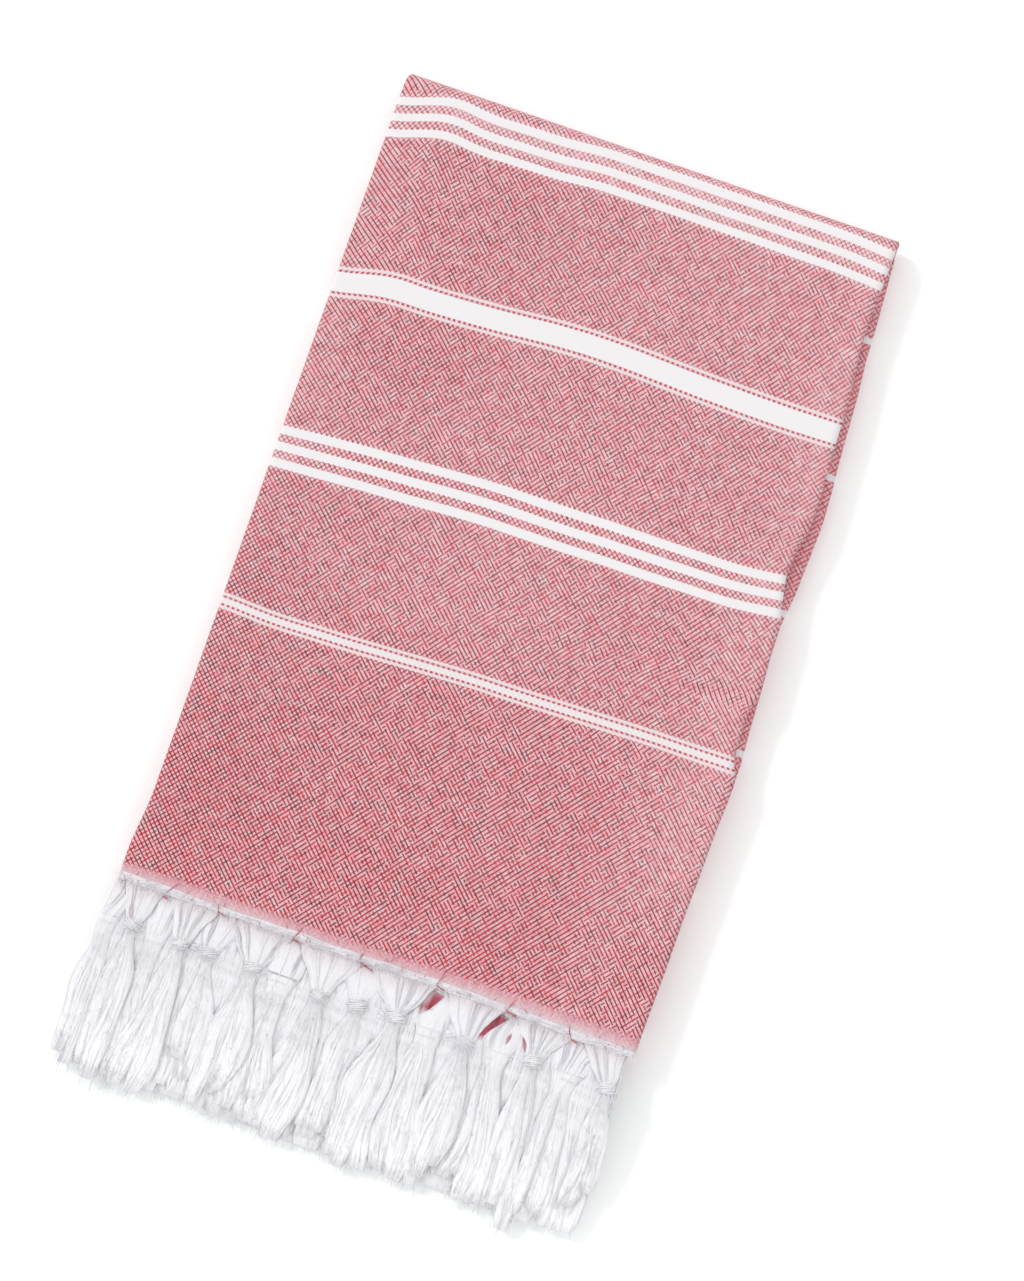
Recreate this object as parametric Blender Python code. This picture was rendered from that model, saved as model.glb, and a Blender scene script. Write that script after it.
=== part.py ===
"""Folded hammam towel: one striped cloth, folded in four across its width and in four
along its length, with a knotted fringe at each of its two hems.

Metres, +Z up. +Y runs from the fringe to the top fold, +X to the open edge of the
stack. The origin is on the surface below the middle of the folded cloth.
"""

import math
import random

import bmesh
import bpy

MM = 0.001

# Cloth
CLOTH_THICKNESS = 1.0 * MM
PLY_PITCH = 1.2 * MM            # from one ply to the next in a bundle of four
BUNDLE_PITCH = 5.0 * MM         # from one bundle of four plies to the next
PLIES = 4
HALF_WIDTH = 125.4 * MM         # folded cloth, from its middle to the left folds
LEFT_OUTER_TURN = -123.1 * MM   # centres of the turns across the width
LEFT_INNER_TURN = -122.4 * MM
RIGHT_TURN = 124.2 * MM
SELVAGE_TOP = 125.4 * MM        # the two selvages, at the open right edge
SELVAGE_UNDER = 123.6 * MM
TOP_TURN = 194.4 * MM           # centre of the turns at the top fold
FRINGE_END_TURN = -211.0 * MM   # centre of the turn under the fringe
HEM_UPPER = -205.0 * MM
HEM_LOWER = -203.5 * MM
UPPER_BUNDLE = 3                # the bundles that end in the hems, counted from below
LOWER_BUNDLE = 2
WIDE_TURN_STEPS = 8
SMALL_TURN_STEPS = 4
PLY_CELLS = 6                   # cells across one ply

# What the stack is lowered by, so that its lowest ply lies on the surface
STACK_DROP = (BUNDLE_PITCH - (PLIES - 1) * PLY_PITCH - CLOTH_THICKNESS) / 2.0

# Unevenness of the folded stack
TOP_SKEW = 0.012                # the top fold is not quite square to the sides
SKEW_END = 200.0 * MM
UPPER_FROM = 9.7 * MM           # the plies above this height have their own right edge
UPPER_TO = 9.95 * MM
HEM_WAVE = 0.6 * MM             # waves of the two hems, and where they fade in
HEM_WAVES_PER_M = 42.0
HEM_PHASE = -0.75
HEM_WAVE_FROM = -140.0 * MM
HEM_WAVE_FULL = -200.0 * MM
FLARE = 2.2 * MM                # of the left edge towards the hem
FLARE_FROM = -160.0 * MM
FLARE_FULL = -192.0 * MM

# Swelling of the stack as a share of its height, one row for each slow wave
SWELL_COLUMNS = ("per_m_x", "per_m_y", "phase", "share")
SWELL_ROWS = (
    (11.0, 9.0, 1.9, 0.018),
    (26.0, -17.0, 0.0, 0.018),
)

# Right edge of the stack, one row for each bay or bulge along it. The plies of the
# two lower bundles stand out from under those of the two upper ones, and their corner
# under the fringe is drawn in.
EDGE_COLUMNS = ("y", "upper_plies", "lower_plies")
EDGE_ROWS = (
    (202, 123.6, 124.6),
    (155, 122.2, 126.6),
    (112, 125.2, 129.3),
    (60, 126.8, 132.0),
    (34, 123.0, 130.8),
    (2, 127.6, 128.0),
    (-27, 129.0, 129.5),
    (-37, 126.4, 129.9),
    (-59, 126.8, 131.1),
    (-70, 130.8, 131.2),
    (-105, 129.3, 129.3),
    (-150, 128.0, 128.0),
    (-200, 126.8, 126.8),
    (-214, 126.5, 121.5),
    (-236, 126.5, 126.5),
)

# Fringe
BACKING_DEPTH = 2.5 * MM
BACKING_GAP = 0.35 * MM
FRINGE_FROM = HEM_UPPER         # distances down both fringes are taken from here
ROOT_GAP = 1.2 * MM             # between the roots of two tassels
FULL_ROOT = 33.0 * MM           # root of a tassel of full bulk
TASSEL_CROWN = 0.8              # width of a tassel's upper side to that of its lower
KNOT_JITTER = 0.9 * MM
TIP_JITTER = 3.5 * MM
TASSEL_PITCH = 30.8 * MM        # in the covered layers
LEAST_ROOT = 14.0 * MM
COVERED_KNOT = 19.5             # mm from the hem
COVERED_TIP = 94.0
COVERED_SPREAD = 0.035          # these tassels fan out by this share of their place
RIGHT_SHORTER = 15.0            # and are shorter at the right corner
SHORTER_FROM = 88.0 * MM
SEED = 7

# How far the roots of each covered layer are moved to the right, from the lowest up,
# so that the tassels of one layer show between those above it
LAYER_SHIFTS = (29.0, 14.0, 4.0, 20.0, 9.0, 25.0)

# Tassels of the top layer and of the one below it, one row each. A tassel fans in
# from its root, "left" to "right" on the hem, to its knot, and ends at its tip.
TASSEL_COLUMNS = ("left", "right", "knot", "knot_distance", "tip", "tip_distance")
TOP_TASSEL_ROWS = (
    (-122.9, -101.4, -111.5, 18.5, -110.5, 96.0),
    (-101.4, -75.1, -89.0, 19.5, -94.5, 94.0),
    (-75.1, -38.5, -54.0, 18.5, -58.0, 90.0),
    (-38.5, -4.6, -21.5, 20.5, -27.0, 93.0),
    (-4.6, 31.8, 15.6, 18.2, 11.5, 97.5),
    (31.8, 66.6, 49.0, 20.5, 50.5, 93.0),
    (66.6, 98.3, 82.5, 18.0, 84.0, 98.5),
    (98.3, 123.4, 117.5, 18.0, 118.5, 78.0),
)
NEXT_TASSEL_ROWS = (
    (-122.9, -109.0, -122.0, 18.0, -124.0, 92.0),
    (-109.0, -88.5, -100.5, 19.0, -103.0, 96.0),
    (-88.5, -55.0, -74.4, 19.5, -74.0, 82.0),
    (-55.0, -22.0, -39.5, 18.5, -43.0, 88.0),
    (-22.0, 15.0, -2.5, 19.0, -3.0, 84.5),
    (15.0, 49.0, 33.0, 20.0, 34.0, 93.5),
    (49.0, 82.5, 66.0, 19.0, 67.0, 93.0),
    (82.5, 123.4, 99.0, 18.5, 100.0, 93.0),
)

# Stations down a tassel, one row each. "lift" is the floor of the lowest layer of
# tassels, which lies on the cloth's fold and then comes down to the surface, and
# "layer" is the height that each of the eight layers has there. "knotted" is 1 where
# a station goes with its tassel's knot, "round" is what the knots of the two top
# layers stand up by, and "settled" is how far the tassel has gone from the knot's
# place across to the tip's.
STATION_COLUMNS = ("distance", "width", "thickness", "round", "lift", "layer", "knotted",
                   "settled")
STATION_ROWS = (
    (7.5, 21.0, 1.05, 0.0, 10.0, 1.35, 0, 0.0),
    (13.0, 12.0, 1.15, 0.0, 10.3, 1.50, 0, 0.0),
    (17.2, 7.4, 1.20, 1.1, 10.3, 1.50, 1, 0.0),
    (20.5, 8.2, 1.20, 1.8, 10.3, 1.50, 1, 0.0),
    (23.3, 6.0, 1.20, 0.5, 10.3, 1.50, 1, 0.0),
    (27.0, 7.0, 1.20, 0.0, 10.3, 1.50, 0, 0.02),
    (39.0, 13.0, 1.35, 0.0, 3.4, 1.65, 0, 0.2),
    (55.0, 15.5, 1.40, 0.0, 0.0, 1.70, 0, 0.5),
    (73.0, 16.0, 1.10, 0.0, 0.0, 1.40, 0, 0.8),
    (93.0, 12.0, 0.75, 0.0, 0.0, 1.05, 0, 1.0),
)
KNOT_STATION = 3                # the row that holds the middle of the knot
ROUND_KNOTS_FROM = 6            # layers from this one up have round knots

CLOTH_COLOUR = (0.62, 0.29, 0.32, 1.0)
YARN_COLOUR = (0.86, 0.85, 0.87, 1.0)
SHARP_EDGE = 50.0               # degrees


def table(columns, rows):
    """Rows as dictionaries, by column name."""
    return [dict(zip(columns, row)) for row in rows]


EDGE = table(EDGE_COLUMNS, EDGE_ROWS)
SWELL = table(SWELL_COLUMNS, SWELL_ROWS)
STATIONS = table(STATION_COLUMNS, STATION_ROWS)
TOP_TASSELS = table(TASSEL_COLUMNS, TOP_TASSEL_ROWS)
NEXT_TASSELS = table(TASSEL_COLUMNS, NEXT_TASSEL_ROWS)


def smooth(low, high, value):
    """0 below low, 1 above high, and a soft step between them."""
    share = min(max((value - low) / (high - low), 0.0), 1.0)
    return share * share * (3.0 - 2.0 * share)


def edge_at(column, y):
    """Right edge of the stack at y, between the rows of its table."""
    if y >= EDGE[0]["y"] * MM:
        return EDGE[0][column] * MM
    for upper, lower in zip(EDGE, EDGE[1:]):
        if y >= lower["y"] * MM:
            share = smooth(lower["y"] * MM, upper["y"] * MM, y)
            return (lower[column] + (upper[column] - lower[column]) * share) * MM
    return EDGE[-1][column] * MM


def settle(point):
    """Moves a point of the square stack to its place in the uneven one."""
    x, y, z = point
    across = min(max((x + HALF_WIDTH) / (2.0 * HALF_WIDTH), 0.0), 1.0) ** 2
    upper_share = smooth(UPPER_FROM, UPPER_TO, z)
    lower = edge_at("lower_plies", y)
    edge = lower + (edge_at("upper_plies", y) - lower) * upper_share
    swell = sum(wave["share"] * math.sin(wave["per_m_x"] * x + wave["per_m_y"] * y
                                         + wave["phase"]) for wave in SWELL)
    hem = smooth(-HEM_WAVE_FROM, -HEM_WAVE_FULL, -y)
    flare = FLARE * smooth(-FLARE_FROM, -FLARE_FULL, -y) * max(-x / HALF_WIDTH, 0.0) ** 3
    return (
        x + (edge - SELVAGE_TOP) * across - flare,
        y - TOP_SKEW * x * smooth(0.0, SKEW_END, y)
        + HEM_WAVE * hem * math.sin(HEM_WAVES_PER_M * x + HEM_PHASE),
        z * (1.0 + swell),
    )


def turned_path(runs, pitch):
    """Middle line of a sheet that runs back and forth, with a round turn between
    runs. A run is (slot, start, end, stops between them), and its slot is its place
    in the stack, from below. Each sample is (along, height, normal along, normal
    height)."""
    samples = []
    for number, (slot, start, end, stops) in enumerate(runs):
        way = 1.0 if end > start else -1.0
        height = (slot + 0.5) * pitch
        samples += [(stop, height, 0.0, way) for stop in (start, *stops, end)]
        if number + 1 == len(runs):
            break
        rise = (runs[number + 1][0] - slot) * pitch
        radius = abs(rise) / 2.0
        upward = math.copysign(1.0, rise)
        steps = WIDE_TURN_STEPS if radius > BUNDLE_PITCH else SMALL_TURN_STEPS
        for step in range(1, steps):
            angle = math.pi * step / steps
            out, up = math.sin(angle) * way, -math.cos(angle) * upward
            samples.append((end + radius * out, height + rise / 2.0 + radius * up,
                            -upward * way * out, -upward * way * up))
    return samples


def spread(start, end, cells):
    """Stops that part a run into equal cells."""
    return [start + (end - start) * n / cells for n in range(1, cells)]


def width_runs():
    """The four plies across the width, from the top selvage round to the other."""
    ends = (
        (PLIES - 1, SELVAGE_TOP, LEFT_OUTER_TURN),
        (0, LEFT_OUTER_TURN, RIGHT_TURN),
        (1, RIGHT_TURN, LEFT_INNER_TURN),
        (2, LEFT_INNER_TURN, SELVAGE_UNDER),
    )
    return [(slot, a, b, spread(a, b, PLY_CELLS)) for slot, a, b in ends]


def length_path():
    """The four bundles along the length, from the upper hem to the lower one."""
    bays = [row["y"] * MM for row in EDGE[1:] if row["y"] * MM > HEM_LOWER]
    runs = (
        (UPPER_BUNDLE, HEM_UPPER, TOP_TURN, bays[::-1]),
        (0, TOP_TURN, FRINGE_END_TURN, bays),
        (1, FRINGE_END_TURN, TOP_TURN, bays[::-1]),
        (LOWER_BUNDLE, TOP_TURN, HEM_LOWER, bays[:-1:2]),
    )
    return turned_path(runs, BUNDLE_PITCH)


def width_path(runs):
    """As turned_path, with the heights taken from the middle of the bundle."""
    middle = PLIES / 2.0 * PLY_PITCH
    return [(x, height - middle, normal_x, normal_height)
            for x, height, normal_x, normal_height in turned_path(runs, PLY_PITCH)]


def cloth_point(across, along, side):
    """A point on the face of the cloth, side +1 or -1, before it settles."""
    x, height, normal_x, normal_height = across
    y, z, normal_y, normal_z = along
    lift = height + side * CLOTH_THICKNESS / 2.0 * normal_height
    return (x + side * CLOTH_THICKNESS / 2.0 * normal_x,
            y + lift * normal_y,
            z + lift * normal_z - STACK_DROP)


def finish_object(name, bm, material):
    """Makes the object of a finished mesh, with its faces pointing out."""
    bmesh.ops.recalc_face_normals(bm, faces=bm.faces)
    bmesh.ops.triangulate(bm, faces=bm.faces)
    mesh = bpy.data.meshes.new(name)
    bm.to_mesh(mesh)
    bm.free()
    mesh.materials.append(material)
    mesh.shade_smooth()
    mesh.set_sharp_from_angle(angle=math.radians(SHARP_EDGE))
    bpy.context.scene.collection.objects.link(bpy.data.objects.new(name, mesh))


def make_material(name, colour, roughness):
    material = bpy.data.materials.new(name)
    material.use_nodes = True
    shader = material.node_tree.nodes["Principled BSDF"]
    shader.inputs["Base Color"].default_value = colour
    shader.inputs["Roughness"].default_value = roughness
    shader.inputs["Metallic"].default_value = 0.0
    material.diffuse_color = colour
    return material


def make_cloth(material):
    """The one-piece cloth with its hems: two faces of one grid and a rim."""
    bm = bmesh.new()
    across, along = width_path(width_runs()), length_path()
    faces = {}
    for side in (1, -1):
        faces[side] = [[bm.verts.new(settle(cloth_point(a, b, side))) for a in across]
                       for b in along]
    for side in (1, -1):
        grid = faces[side]
        for row, following in zip(grid, grid[1:]):
            for n in range(len(across) - 1):
                bm.faces.new((row[n], row[n + 1], following[n + 1], following[n]))
    front, back = faces[1], faces[-1]
    rim = [(0, n) for n in range(len(across))]
    rim += [(m, len(across) - 1) for m in range(1, len(along))]
    rim += [(len(along) - 1, n) for n in range(len(across) - 2, -1, -1)]
    rim += [(m, 0) for m in range(len(along) - 2, 0, -1)]
    for (m, n), (p, q) in zip(rim, rim[1:] + rim[:1]):
        bm.faces.new((front[m][n], front[p][q], back[p][q], back[m][n]))
    finish_object("towel_cloth", bm, material)


def layer_of(bundle, slot):
    """Place of a ply in the pile of eight at the fringe, counted from below. The
    lower bundle lies face down, so its plies come in the other order."""
    return PLIES + slot if bundle == UPPER_BUNDLE else PLIES - 1 - slot


def tassels_of(layer):
    """The tassels of a layer, from left to right."""
    if layer >= len(LAYER_SHIFTS):
        return TOP_TASSELS if layer % 2 else NEXT_TASSELS
    first, last = NEXT_TASSELS[0]["left"] * MM, NEXT_TASSELS[-1]["right"] * MM
    tassels = []
    start = first + LAYER_SHIFTS[layer] * MM - TASSEL_PITCH
    while start < last:
        left, right = max(start, first), min(start + TASSEL_PITCH, last)
        start += TASSEL_PITCH
        if right - left < LEAST_ROOT:
            continue
        middle = (left + right) / 2.0
        shorter = RIGHT_SHORTER * smooth(SHORTER_FROM, HALF_WIDTH, middle)
        row = (left / MM, right / MM, middle / MM, COVERED_KNOT,
               middle / MM * (1.0 + COVERED_SPREAD), COVERED_TIP - shorter)
        tassels.append(dict(zip(TASSEL_COLUMNS, row)))
    return tassels


def backing_path(bundle):
    """The width path with a stop at each edge of each root, and for each of its
    samples the tassel whose root starts there with its layer, or None."""
    runs, starts = [], {}
    for slot, start, end, _ in width_runs():
        layer = layer_of(bundle, slot)
        roots = [(tassel["left"] * MM + ROOT_GAP / 2.0, tassel["right"] * MM - ROOT_GAP / 2.0)
                 for tassel in tassels_of(layer)]
        pairs = list(zip(roots, tassels_of(layer)))
        if end < start:
            pairs = [((right, left), tassel) for (left, right), tassel in reversed(pairs)]
        starts.update({(slot, near): (tassel, layer) for (near, _), tassel in pairs})
        runs.append((slot, start, end, [stop for pair, _ in pairs for stop in pair]))
    samples = width_path(runs)
    slots = [round((sample[1] / PLY_PITCH) + (PLIES - 1) / 2.0) for sample in samples]
    return samples, [starts.get((slot, sample[0])) for slot, sample in zip(slots, samples)]


def tassel_rings(root, tassel, layer, rng):
    """The rings of one tassel from its root to its tip, before they settle. Each
    keeps the order of the root's four corners."""
    centre_x = sum(corner[0] for corner in root) / len(root)
    centre_z = sum(corner[2] for corner in root) / len(root)
    signs = [(math.copysign(1.0, x - centre_x), math.copysign(1.0, z - centre_z))
             for x, _, z in root]
    knot_x = tassel["knot"] * MM + rng.uniform(-KNOT_JITTER, KNOT_JITTER)
    tip_x = tassel["tip"] * MM + rng.uniform(-KNOT_JITTER, KNOT_JITTER)
    knot = tassel["knot_distance"] * MM + rng.uniform(-KNOT_JITTER, KNOT_JITTER)
    length = tassel["tip_distance"] * MM - rng.uniform(0.0, TIP_JITTER)
    bulk = min(math.sqrt((tassel["right"] - tassel["left"]) * MM / FULL_ROOT), 1.0)
    body, tip = STATIONS[-2], STATIONS[-1]
    thinning = (tip["layer"] - body["layer"]) / (tip["distance"] - body["distance"])
    rings = []
    for station in STATIONS:
        distance = station["distance"] * MM
        height = station["layer"]
        if station["knotted"]:
            distance += knot - STATIONS[KNOT_STATION]["distance"] * MM
        if station is tip:
            distance = length
            height = body["layer"] + thinning * (distance / MM - body["distance"])
        fanned = max(1.0 - distance / knot, 0.0)
        x = knot_x + (centre_x - knot_x) * fanned + (tip_x - knot_x) * station["settled"]
        rise = station["round"] if layer >= ROUND_KNOTS_FROM else 0.0
        z = (station["lift"] + (layer + 0.5) * height + rise / 2.0) * MM
        half_width = station["width"] * bulk * MM / 2.0
        half_height = (station["thickness"] + rise) * MM / 2.0
        if layer == 0 and station["lift"] == 0.0:
            z = half_height
        rings.append([(x + sx * half_width * (1.0 if sz < 0.0 else TASSEL_CROWN),
                       FRINGE_FROM - distance, z + sz * half_height) for sx, sz in signs])
    return rings


def make_fringe(name, hem, bundle, material):
    """One hem's fringe: a narrow backing folded as the hem is, with its tassels."""
    bm = bmesh.new()
    rng = random.Random(SEED + bundle)
    way = 1.0 if bundle == UPPER_BUNDLE else -1.0
    height = (bundle + 0.5) * BUNDLE_PITCH
    samples, roots = backing_path(bundle)
    sections = []
    for sample in samples:
        corners = []
        for depth in (BACKING_GAP, BACKING_GAP + BACKING_DEPTH):
            along = (hem - depth, height, 0.0, way)
            corners += [cloth_point(sample, along, 1), cloth_point(sample, along, -1)]
        sections.append(corners)
    rings = [[bm.verts.new(settle(corner)) for corner in section] for section in sections]
    for end in (rings[0], rings[-1]):
        bm.faces.new((end[0], end[1], end[3], end[2]))
    for n in range(len(rings) - 1):
        a, b = rings[n], rings[n + 1]
        bm.faces.new((a[0], b[0], b[1], a[1]))
        bm.faces.new((a[0], a[2], b[2], b[0]))
        bm.faces.new((a[1], b[1], b[3], a[3]))
        if roots[n] is None:
            bm.faces.new((a[2], a[3], b[3], b[2]))
            continue
        root = [sections[n][2], sections[n + 1][2], sections[n + 1][3], sections[n][3]]
        ring = [a[2], b[2], b[3], a[3]]
        tassel, layer = roots[n]
        for points in tassel_rings(root, tassel, layer, rng):
            following = [bm.verts.new(settle(point)) for point in points]
            for c in range(4):
                d = (c + 1) % 4
                bm.faces.new((ring[c], ring[d], following[d], following[c]))
            ring = following
        bm.faces.new(ring)
    finish_object(name, bm, material)


def main():
    for old in list(bpy.data.objects):
        bpy.data.objects.remove(old)
    cloth = make_material("red_and_white_cotton", CLOTH_COLOUR, 0.9)
    yarn = make_material("white_cotton_yarn", YARN_COLOUR, 0.92)
    make_cloth(cloth)
    make_fringe("fringe_upper", HEM_UPPER, UPPER_BUNDLE, yarn)
    make_fringe("fringe_lower", HEM_LOWER, LOWER_BUNDLE, yarn)


if __name__ == "__main__":
    main()
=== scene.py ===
"""Looks of the folded hammam towel: the striped cloth on the folds of its solid, the
knotted yarn fringe at both hems, and a pale stage with soft light.

Metres, +Z up. +Y runs from the fringe to the top fold, +X to the open edge of the
stack, and the origin is on the surface below the middle of the folded cloth.
"""

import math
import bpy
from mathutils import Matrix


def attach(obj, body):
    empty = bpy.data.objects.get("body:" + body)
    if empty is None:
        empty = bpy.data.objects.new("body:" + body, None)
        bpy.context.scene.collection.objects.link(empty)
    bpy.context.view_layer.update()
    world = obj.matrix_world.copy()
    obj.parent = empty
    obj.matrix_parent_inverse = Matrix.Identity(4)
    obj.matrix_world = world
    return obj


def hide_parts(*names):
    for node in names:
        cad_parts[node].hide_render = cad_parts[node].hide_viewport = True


bl_info = {
    "name": "Folded hammam towel",
    "version": (1, 0, 0),
    "blender": (4, 5, 0),
    "location": "3D View > Sidebar > Towel",
    "description": "Makes a folded striped hammam towel with its knotted fringe",
    "category": "Object",
}

import bmesh
import bpy
import numpy as np
from bpy.props import FloatProperty, FloatVectorProperty, IntProperty, PointerProperty
from mathutils import Matrix, Vector

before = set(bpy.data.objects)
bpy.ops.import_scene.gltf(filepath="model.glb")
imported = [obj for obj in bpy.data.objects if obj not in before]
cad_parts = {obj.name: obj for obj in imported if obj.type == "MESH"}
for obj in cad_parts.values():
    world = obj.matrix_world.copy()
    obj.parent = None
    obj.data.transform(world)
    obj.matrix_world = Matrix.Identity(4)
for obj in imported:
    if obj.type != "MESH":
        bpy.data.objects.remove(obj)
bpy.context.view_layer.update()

MM = 0.001
FULL_TURN = 2.0 * math.pi


def table(columns, rows):
    """Rows as dictionaries, by column name."""
    return [dict(zip(columns, row)) for row in rows]


# Folds of the cloth, as in its solid. Left and right places are across the folded
# cloth, and the others along it, both from its middle.
PLY_PITCH = 1.2 * MM
BUNDLE_PITCH = 5.0 * MM
PLIES = 4
SOLID_THICKNESS = 1.0 * MM
HALF_WIDTH = 125.4 * MM
LEFT_OUTER_TURN = -123.1 * MM
LEFT_INNER_TURN = -122.4 * MM
RIGHT_TURN = 124.2 * MM
SELVAGE_TOP = 125.4 * MM
SELVAGE_UNDER = 123.6 * MM
TOP_TURN = 194.4 * MM
FRINGE_END_TURN = -211.0 * MM
HEM_UPPER = -205.0 * MM
HEM_LOWER = -203.5 * MM
UPPER_BUNDLE = 3
LOWER_BUNDLE = 2
STACK_DROP = (BUNDLE_PITCH - (PLIES - 1) * PLY_PITCH - SOLID_THICKNESS) / 2.0
TOP_SKEW = 0.012                # of the last fold, which lies a little askew
SKEW_END = 200.0 * MM
UPPER_FROM = 9.7 * MM           # height where the upper plies of the stack start
UPPER_TO = 9.95 * MM
HEM_WAVE = 0.6 * MM             # how far the hem waves up and down the towel
HEM_WAVES_PER_M = 42.0
HEM_PHASE = -0.75
HEM_WAVE_FROM = -140.0 * MM
HEM_WAVE_FULL = -200.0 * MM
FLARE = 2.2 * MM                # of the left edge at the hem
FLARE_FROM = -160.0 * MM
FLARE_FULL = -192.0 * MM
CORNER_IN = 6.0 * MM            # how far the lower plies draw in at the left corner
CORNER_FROM = -200.0 * MM
CORNER_FULL = -214.0 * MM
CORNER_LASTS = -216.0 * MM
CORNER_END = -236.0 * MM
# Slow waves in the height of the stack
SWELL = table(("per_m_x", "per_m_y", "phase", "share"), (
    (11.0, 9.0, 1.9, 0.018),
    (26.0, -17.0, 0.0, 0.018),
))
# Right edge of the stack, in mm, from the top fold down
EDGE = table(("y", "upper_plies", "lower_plies"), (
    (202, 123.6, 124.6),
    (155, 122.2, 126.6),
    (112, 125.2, 129.3),
    (60, 126.8, 132.0),
    (34, 123.0, 130.8),
    (2, 127.6, 128.0),
    (-27, 129.0, 129.5),
    (-37, 126.4, 129.9),
    (-59, 126.8, 131.1),
    (-70, 130.8, 131.2),
    (-105, 129.3, 129.3),
    (-150, 128.0, 128.0),
    (-200, 126.8, 126.8),
    (-214, 126.5, 121.5),
    (-236, 126.5, 126.5),
))

# Fineness of the cloth's mesh: cells across and along a ply that shows, and one that
# is covered
SHOWN_ACROSS = 66
COVERED_ACROSS = 14
SHOWN_ALONG = 104
COVERED_ALONG = 24
WIDE_TURN_STEPS = 12
SMALL_TURN_STEPS = 8

# Main creases of the top, in mm, one row for each soft ridge or trough between two
# points
CREASES = table(("x", "y", "to_x", "to_y", "reach", "rise"), (
    (90, -205, 86, -40, 9, 0.50),
    (86, -40, 92, 60, 11, 0.25),
    (104, 30, 126, 22, 6, -0.55),
    (104, 40, 122, 44, 6, 0.40),
    (-98, 205, -100, 120, 8, 0.45),
    (-116, 200, -118, 80, 7, -0.35),
    (-70, 96, 60, 112, 12, 0.30),
    (-112, 20, -30, 30, 10, 0.22),
    (-60, -120, 20, -104, 14, -0.25),
    (-105, -150, -40, -165, 13, 0.30),
    (20, 150, 70, 128, 12, -0.25),
    (112, -52, 128, -60, 5, 0.45),
))
PUCKER_RISE = 0.35 * MM         # of the hem between its knots
PUCKER_PITCH = 17.0 * MM
PUCKER_FROM = -183.0 * MM
PUCKER_PHASE = 0.8
CREASE_ENDS = 0.04              # share of its length at each end where it fades no more
EDGE_SINK = 0.5 * MM            # the top dips a little to its left fold
EDGE_SINK_FROM = -112.0 * MM
EDGE_SINK_FULL = -126.0 * MM
CREASED_FROM = 12.0 * MM        # height from which the plies take part in the creases
CREASED_FULL = 19.0 * MM

# How far the weft lines wander from straight, in mm, one row for each place across, and
# a column for each group of stripes on the top: up the towel is positive
DRIFT = table(("x", "thin", "lower_triple", "wide", "upper_triple"), (
    (-126, -1.7, -6.0, -9.4, -8.9),
    (-120, -1.8, -5.6, -8.2, -7.4),
    (-108, -2.7, -4.7, -4.9, -2.9),
    (-97, -3.2, -3.9, -2.8, 0.0),
    (-80, -2.7, -2.7, -3.2, -2.5),
    (-60, -2.3, -1.8, -2.3, -1.9),
    (-40, -1.4, -0.6, -1.0, -1.5),
    (-20, -0.6, 0.2, 0.9, 0.7),
    (0, 0.1, -0.1, 2.0, 0.5),
    (20, 0.1, -0.1, 1.8, 0.7),
    (40, 0.5, 0.3, 0.8, 0.6),
    (60, 0.9, 0.0, 0.0, 0.7),
    (80, 1.4, 0.2, -0.6, 0.6),
    (100, 1.4, 0.2, -0.9, 0.6),
    (115, 1.3, 1.9, -0.7, -0.5),
    (126, 1.3, 3.6, -0.4, -1.8),
))
DRIFT_SOFTENING = (-6.0, -3.0, 0.0, 3.0, 6.0)   # mm

# Stripes by their place along the cloth from the nearer hem
THIN_AT = 140.9 * MM
LOWER_TRIPLE_AT = 222.5 * MM
WIDE_AT = 308.5 * MM
UPPER_TRIPLE_AT = 392.5 * MM
THIN_WHITE = 0.86               # the thin stripe lets a little of the cloth through
# Groups of stripes that wander as in the table above, and where the wandering ends
DRIFT_STOPS = (("thin", THIN_AT), ("lower_triple", LOWER_TRIPLE_AT), ("wide", WIDE_AT),
               ("upper_triple", UPPER_TRIPLE_AT))
DRIFT_END = 470.0 * MM
SINGLES_FROM = 463.8 * MM       # single stripes in the cloth that is folded away
SINGLES_PITCH = 69.6 * MM

# Patches of the weave on the top, one row each: its middle and reach in mm, which way
# its lines lean, from -1 to 1, how much they cross, and its painted light: how much
# lighter (above 0) or darker (below 0) the cloth is painted there, standing in for the
# large-scale light and shade over the top, such as a lighter crease ridge
PATCHES = table(("x", "y", "reach_x", "reach_y", "lean", "cross", "painted_light"), (
    (-120, 150, 14, 55, -1.4, 0.0, 0.3),
    (-122, 40, 12, 50, -1.2, 0.3, 0.6),
    (10, 190, 130, 11, 0.0, 0.4, 1.0),
    (72, 148, 55, 36, 0.9, 0.0, 0.3),
    (-60, 150, 40, 30, 0.0, 0.2, -0.1),
    (0, 140, 36, 30, 0.3, 0.0, 0.1),
    (85, 62, 42, 34, 0.6, 0.1, 0.2),
    (-76, 74, 24, 18, -0.1, 0.3, -0.1),
    (0, 60, 36, 30, 0.1, 0.0, 0.1),
    (-80, -12, 26, 18, 0.1, 0.2, 0.0),
    (-10, -15, 40, 26, 0.1, 0.0, 0.1),
    (70, -20, 34, 34, 0.7, 0.1, 0.0),
    (116, -20, 12, 40, -1.0, 0.0, 0.7),
    (118, 90, 10, 70, 0.3, 0.0, 1.1),
    (-118, -60, 12, 60, 0.1, 0.9, 0.2),
    (-100, -95, 24, 40, 0.0, 0.6, 0.15),
    (-104, -150, 26, 50, -0.1, 0.8, -0.75),
    (-84, -178, 30, 18, -0.7, 0.2, -0.9),
    (-40, -105, 50, 34, 0.1, 0.1, -1.0),
    (-30, -165, 50, 34, 0.1, 0.2, -1.25),
    (45, -100, 34, 30, 0.5, 0.0, -0.9),
    (64, -140, 26, 30, 0.9, 0.0, -1.0),
    (55, -180, 30, 24, 0.7, 0.1, -1.5),
    (92, -120, 9, 80, 0.6, 0.0, 0.2),
    (114, -170, 15, 30, -1.0, 0.1, -0.8),
    (116, -110, 13, 40, -1.0, 0.1, 0.8),
))
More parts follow.
